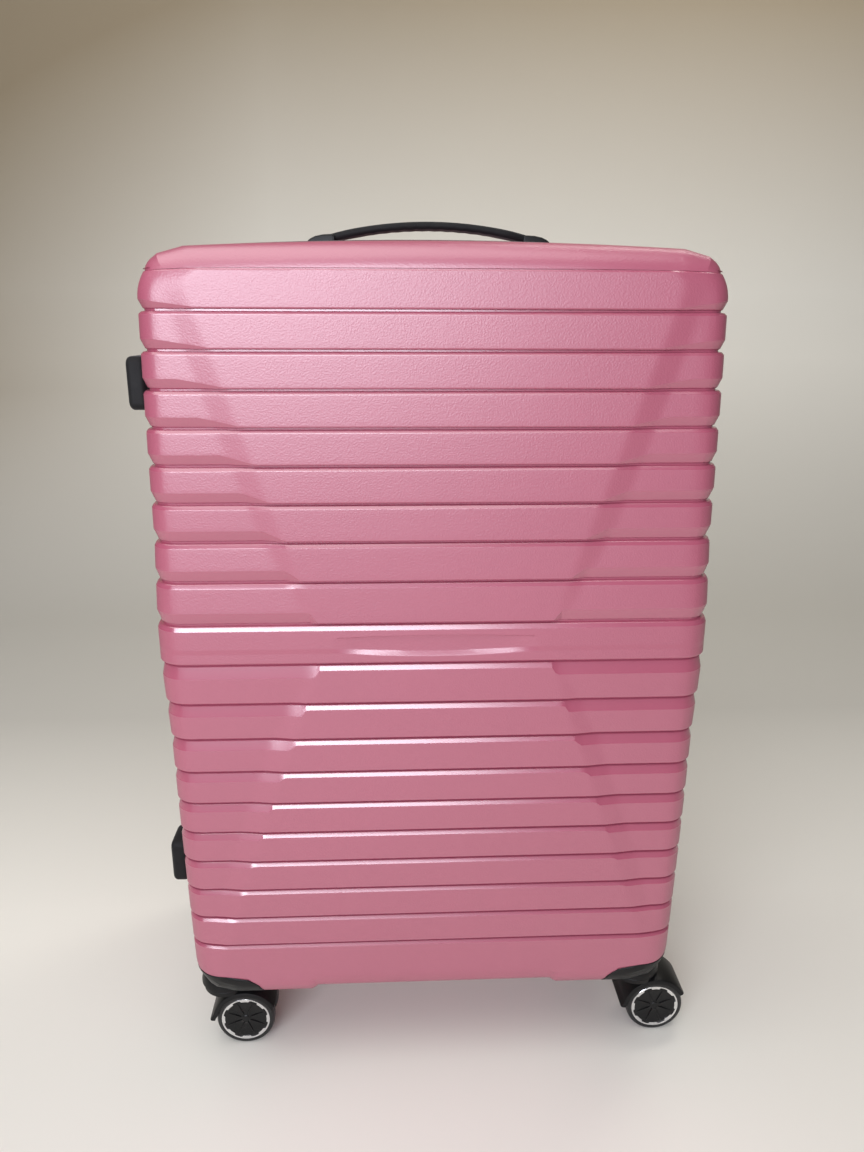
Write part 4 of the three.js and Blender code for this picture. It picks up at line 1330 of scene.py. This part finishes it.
def lining_centre(rings):
    """Middle of the back panel."""
    return np.array([0, rings[-1][0, 1], MIDDLE_Z - 20])


def slack_cloth(rings, side):
    """Lets the cloth stand off its rings: inward from the walls and forward from the back panel."""
    points, centre = np.concatenate(rings), lining_centre(rings)
    slack = wrinkle(points, 5 + side, 0.9, 120) + wrinkle(points, 25 + side, 0.35, 34)
    free = np.concatenate([np.full(len(r), min(1.0, max(0, (k - 2) / 6))) for k, r in enumerate(rings)])
    away = (centre - points) * (1, 0, 1)
    away /= np.maximum(np.linalg.norm(away, axis=1, keepdims=True), 1e-6)
    wallish = np.clip((centre[1] - points[:, 1]) / 20, 0, 1)[:, None]
    inward = away * wallish - np.array([0, 1, 0]) * (1 - wallish)
    return points + inward * (np.abs(slack) * free + 0.2 * free)[:, None]


def clear_fittings(points):
    """Lays the rear lining under the bezel and beside the lock."""
    x, y, z = points.T
    lo, hi = box_of("trolley_bezel", 3)
    z[(np.abs(x) < hi[0] + 4) & (y > 80) & (z > lo[2])] = lo[2]
    lock_lo, lock_hi = box_of("lock_body", 3)
    beside = (y < lock_hi[1]) & (np.abs(z - centre_of("lock_body")[2]) < 44)
    x[beside & (x > lock_lo[0])] = lock_lo[0]


def lining(side, word, body):
    """Cloth lining glued in a half shell: a flange at the mouth, slack walls and a flat back panel."""
    rings = lining_rings()
    points = slack_cloth(rings, side) * (1, side, 1)
    if side > 0:
        clear_fittings(points)
    n = len(rings[0])
    split = [points[k * n:(k + 1) * n] for k in range(len(rings))]
    piece = Piece().loft(split, caps=False)
    piece.add(np.concatenate([split[-1], [split[-1].mean(0)]]), [(i, (i + 1) % n, n) for i in range(n)])
    obj = piece.build(f"{word}_lining_cloth", LINING, body, f"{word}_lining", "lining_cloth", sharp=60)


def tunnel_cloth():
    """The cover sewn into the rear lining over the telescopic tubes, from the bezel to the bottom wall."""
    turn = np.radians(np.linspace(0, 86, 9))[:, None]
    front = np.stack([np.linspace(0, TUNNEL_HALF - TUNNEL_ROUND, 12)[:-1], np.full(11, TUNNEL_Y)], 1)
    bend = (TUNNEL_HALF, TUNNEL_Y) + TUNNEL_ROUND * np.hstack([np.sin(turn) - 1, 1 - np.cos(turn)])
    wall = np.linspace((TUNNEL_HALF + 0.5, bend[-1, 1] + 6), (TUNNEL_HALF + 3, TUNNEL_BACK), 6)
    half = np.concatenate([front, bend, wall])
    section = np.concatenate([half[:0:-1] * (-1, 1), half])
    heights = np.linspace(SHELL_BOTTOM + 12, box_of("trolley_bezel", 3)[0][2] + 0.5, 90)
    rings = [ring(section[:, 0], section[:, 1], z) for z in heights]
    slack = wrinkle(np.concatenate(rings), 45, 0.7, 90).reshape(len(rings), -1)
    for points, offset in zip(rings, slack):
        points[:, 1] -= np.abs(offset)
    obj = Piece().loft(rings, closed=False, caps=False).build(
        "tunnel_cloth", LINING, "rear_half", None, "lining_cloth", sharp=60)


def hinge_cloth():
    """The strip that ties the two linings together down the hinge side."""
    lo, hi = box_of("hinge_strip")
    x = centre_of("hinge_strip")[0]
    ys, zs = np.linspace(lo[1], hi[1], 29), np.linspace(lo[2], hi[2], 61)
    piece = Piece()
    for offset in (0, 0.6):
        rings = [ring(x + offset + 0.25 * np.sin(ys * 1.1) * math.cos(z / 9), ys, z) for z in zs]
        piece.loft(rings, closed=False, caps=False, flip=offset > 0)
    obj = piece.build("hinge_cloth", TAPE, None, "hinge_strip", "zip_tape", sharp=60)
    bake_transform(obj)


def strap(name):
    """Flat webbing that sags a little, with its outer end folded and sewn to the lining in two rows."""
    lo, hi = box_of(name)
    away = -1 if "left" in name else 1
    _, y, z = centre_of(name)
    _, thick, wide = half_of(name)
    rings = []
    for t in np.linspace(0, 1, 60):
        outer = t if away > 0 else 1 - t
        sag = 2.6 * math.sin(math.pi * t)
        section = rounded_loop(thick + (0.5 if outer > 0.9 else 0), wide, 0.6, 3)
        rings.append(ring(lerp(lo[0], hi[0], t), section[:, 0] + y + sag * 0.3, section[:, 1] + z - sag))
    piece = Piece().loft(rings)
    for row in (z - 7, z + 7):
        for k in range(7):
            x = (hi[0] - 4 - k * 2.4) if away > 0 else (lo[0] + 4 + k * 2.4)
            stitch = (x - 0.8, lo[1] - 0.75, row - 0.25), (x + 0.8, lo[1] - 0.3, row + 0.25)
            piece.block(*stitch, axis="y", corner=0.2, edge=0.1, steps=2)
    obj = piece.build(name + "_webbing", WEB, "rear_half", name, "webbing")


def buckle():
    """A side-release buckle: a hollow socket with two windows, and a tongue with sprung prongs."""
    lo, hi = box_of("buckle_socket")
    _, y, z = centre_of("buckle_socket")

    def slit(obj, x0, x1, half_y, half_z, middle=z, **shape):
        box = (x0, y - half_y, middle - half_z), (x1, y + half_y, middle + half_z)
        carve(obj, Piece().block(*box, edge=0.2, **shape))

    obj = Piece().block(lo, hi, axis="y", corner=5, edge=2.2, steps=5).build(
        "buckle_socket_shell", SATIN, "rear_half", "buckle_socket", "black_plastic")
    slit(obj, lo[0] - 3, lo[0] + 28, 2.6, 12.5, axis="x", corner=1.5)
    for end in (-17.5, 17.5):
        slit(obj, lo[0] + 9, lo[0] + 20, 3.4, 6.5, z + end, corner=2)
    slit(obj, hi[0] - 5.4, hi[0] - 2.6, 8, 12.4, axis="y", corner=1)
    lo, hi = box_of("buckle_tongue")
    piece = Piece().block(lo, (lo[0] + 24, hi[1], hi[2]), axis="y", corner=4, edge=2.0, steps=5)
    obj = piece.build("buckle_tongue_prongs", SATIN, "rear_half", "buckle_tongue", "black_plastic")
    slit(obj, lo[0] + 2.6, lo[0] + 5.4, 8, 12.4, axis="y", corner=1)
    root, tip = lo[0] + 23, hi[0]
    guide = (root, y - 1.4, z - 1.6), (tip - 3, y + 1.4, z + 1.6)
    prongs = Piece().block(*guide, axis="x", corner=1.0, edge=0.8)
    for end in (-1, 1):
        a, b = sorted((z + end * 6.5, z + end * 9.2))
        prongs.block((root, y - 1.9, a), (tip - 8, y + 1.9, b), axis="x", corner=1.0, edge=0.8)
        a, b = sorted((z + end * 6.5, z + end * 11.8))
        prongs.block((tip - 14, y - 1.9, a), (tip - 2, y + 1.9, b), axis="x", corner=1.6, edge=1.2)
    prongs.build("buckle_prongs", SATIN, "rear_half", None, "black_plastic")


lining(-1, "front", "front_half")
lining(1, "rear", "rear_half")
tunnel_cloth()
hinge_cloth()
strap("pack_strap_left")
strap("pack_strap_right")
buckle()


# ---------------------------------------------------------------- floor, light and camera
def studio_paper():
    """Pale paper with painted shade: a painted shadow on the floor behind the case, reaching to where floor
    and wall meet, and painted shade, darker and warmer, at the top and the left.
    """
    f = Finish("studio_paper", Specular_IOR_Level=0.2)
    x, y, z = f.node("SeparateXYZ", 0, None, Vector=f.coords).node.outputs
    # Painted shade on the wall: darker towards the left and towards the top, where less light falls.
    leftward = f.remap(x, -0.4, -1.6)
    upper = f.math("MULTIPLY", f.remap(z, 0.8, 1.65), f.math("MULTIPLY_ADD", leftward, -0.5, 1.0))
    painted_left_shade = f.math("MULTIPLY", f.math("MULTIPLY", leftward, f.remap(z, 0.0, 0.5)), 0.9)
    shadow = f.math("ADD", painted_left_shade, upper, clamp=True)
    # Painted shadow of the case: darker on the floor behind it, fading out up the foot of the wall.
    painted_floor_shadow = f.math("MULTIPLY", f.remap(y, 0.1, 0.65, 0.0, 0.34), f.remap(z, 0.0, 0.6, 1.0, 0.0))
    paper = f.blend(f.noise(1.3, 4.0), rgba(0.83, 0.81, 0.745), rgba(0.86, 0.84, 0.775))
    tone = f.blend(painted_floor_shadow, paper, rgba(0.02, 0.015, 0.01))
    # The dark warm colour is the painted shade of the wall's top and left.
    f.colour(f.blend(shadow, tone, rgba(0.345, 0.285, 0.20)))
    f.roughness(f.remap(f.noise(3.0, 3.0), 0.3, 0.7, 0.6, 0.75))
    f.bump((f.noise(260, 3.0), 0.05, 0.3))
    return f.material


def backdrop():
    """A floor that sweeps up into a wall."""
    rise = [(-4.0, 0.0), (1.2, 0.0)]
    rise += [(1.2 + 0.8 * math.sin(a), 0.8 - 0.8 * math.cos(a)) for a in np.linspace(0.1, 1.57, 14)]
    rise += [(2.0, 4.5)]
    mesh = bpy.data.meshes.new("backdrop")
    points = [(x, y, z) for y, z in rise for x in (-5, 5)]
    faces = [(2 * k, 2 * k + 1, 2 * k + 3, 2 * k + 2) for k in range(len(rise) - 1)]
    mesh.from_pydata(points, [], faces)
    mesh.polygons.foreach_set("use_smooth", [True] * len(faces))
    mesh.materials.append(studio_paper())
    obj = bpy.data.objects.new("backdrop", mesh)
    scene.collection.objects.link(obj)


def area_light(name, loc, target, size, power, colour, spread=180):
    """A rectangular light at loc, turned towards target."""
    data = bpy.data.lights.new(name, "AREA")
    data.shape = "RECTANGLE"
    data.size, data.size_y = size
    data.energy, data.color, data.spread = power, colour, math.radians(spread)
    obj = bpy.data.objects.new(name, data)
    obj.location = loc
    obj.rotation_mode = "QUATERNION"
    obj.rotation_quaternion = (Vector(target) - Vector(loc)).to_track_quat("-Z", "Y")
    scene.collection.objects.link(obj)


def camera():
    """Looks slightly down and a little towards the lock side, from below the top of the case."""
    pitch, yaw, roll = (math.radians(a) for a in (16.44, 2.64, -0.168))
    forward = Vector((math.sin(yaw) * math.cos(pitch), math.cos(yaw) * math.cos(pitch), -math.sin(pitch)))
    right = Vector((math.cos(yaw), -math.sin(yaw), 0))
    down = forward.cross(right)
    c, s = math.cos(roll), math.sin(roll)
    right, down = right * c + down * s, down * c - right * s
    data = bpy.data.cameras.new("camera")
    data.lens, data.sensor_width = 27.03, 36.0
    obj = bpy.data.objects.new("camera", data)
    axes = Matrix((right, -down, -forward)).transposed()
    obj.matrix_world = Matrix.Translation((-0.036, -0.842, 0.7095)) @ axes.to_4x4()
    scene.collection.objects.link(obj)
    scene.camera = obj


backdrop()
area_light("key", (-0.5, -1.75, 0.95), (0.0, -0.15, 0.72), (1.5, 0.6), 14, (0.95, 0.97, 1.07), 120)
area_light("top", (-0.65, -0.7, 2.8), (-0.1, -0.2, 0), (3.2, 2.3), 56, (1.0, 0.985, 0.97))
area_light("wash", (1.0, 0.9, 2.5), (0.5, 2.0, 0.7), (1.6, 0.6), 16, (1.0, 0.965, 0.91))
world = bpy.data.worlds.new("studio")
world.use_nodes = True
world.node_tree.nodes["Background"].inputs["Color"].default_value = rgba(1.0, 0.965, 0.93)
world.node_tree.nodes["Background"].inputs["Strength"].default_value = 0.08
scene.world = world
scene.view_settings.view_transform = "Standard"
camera()
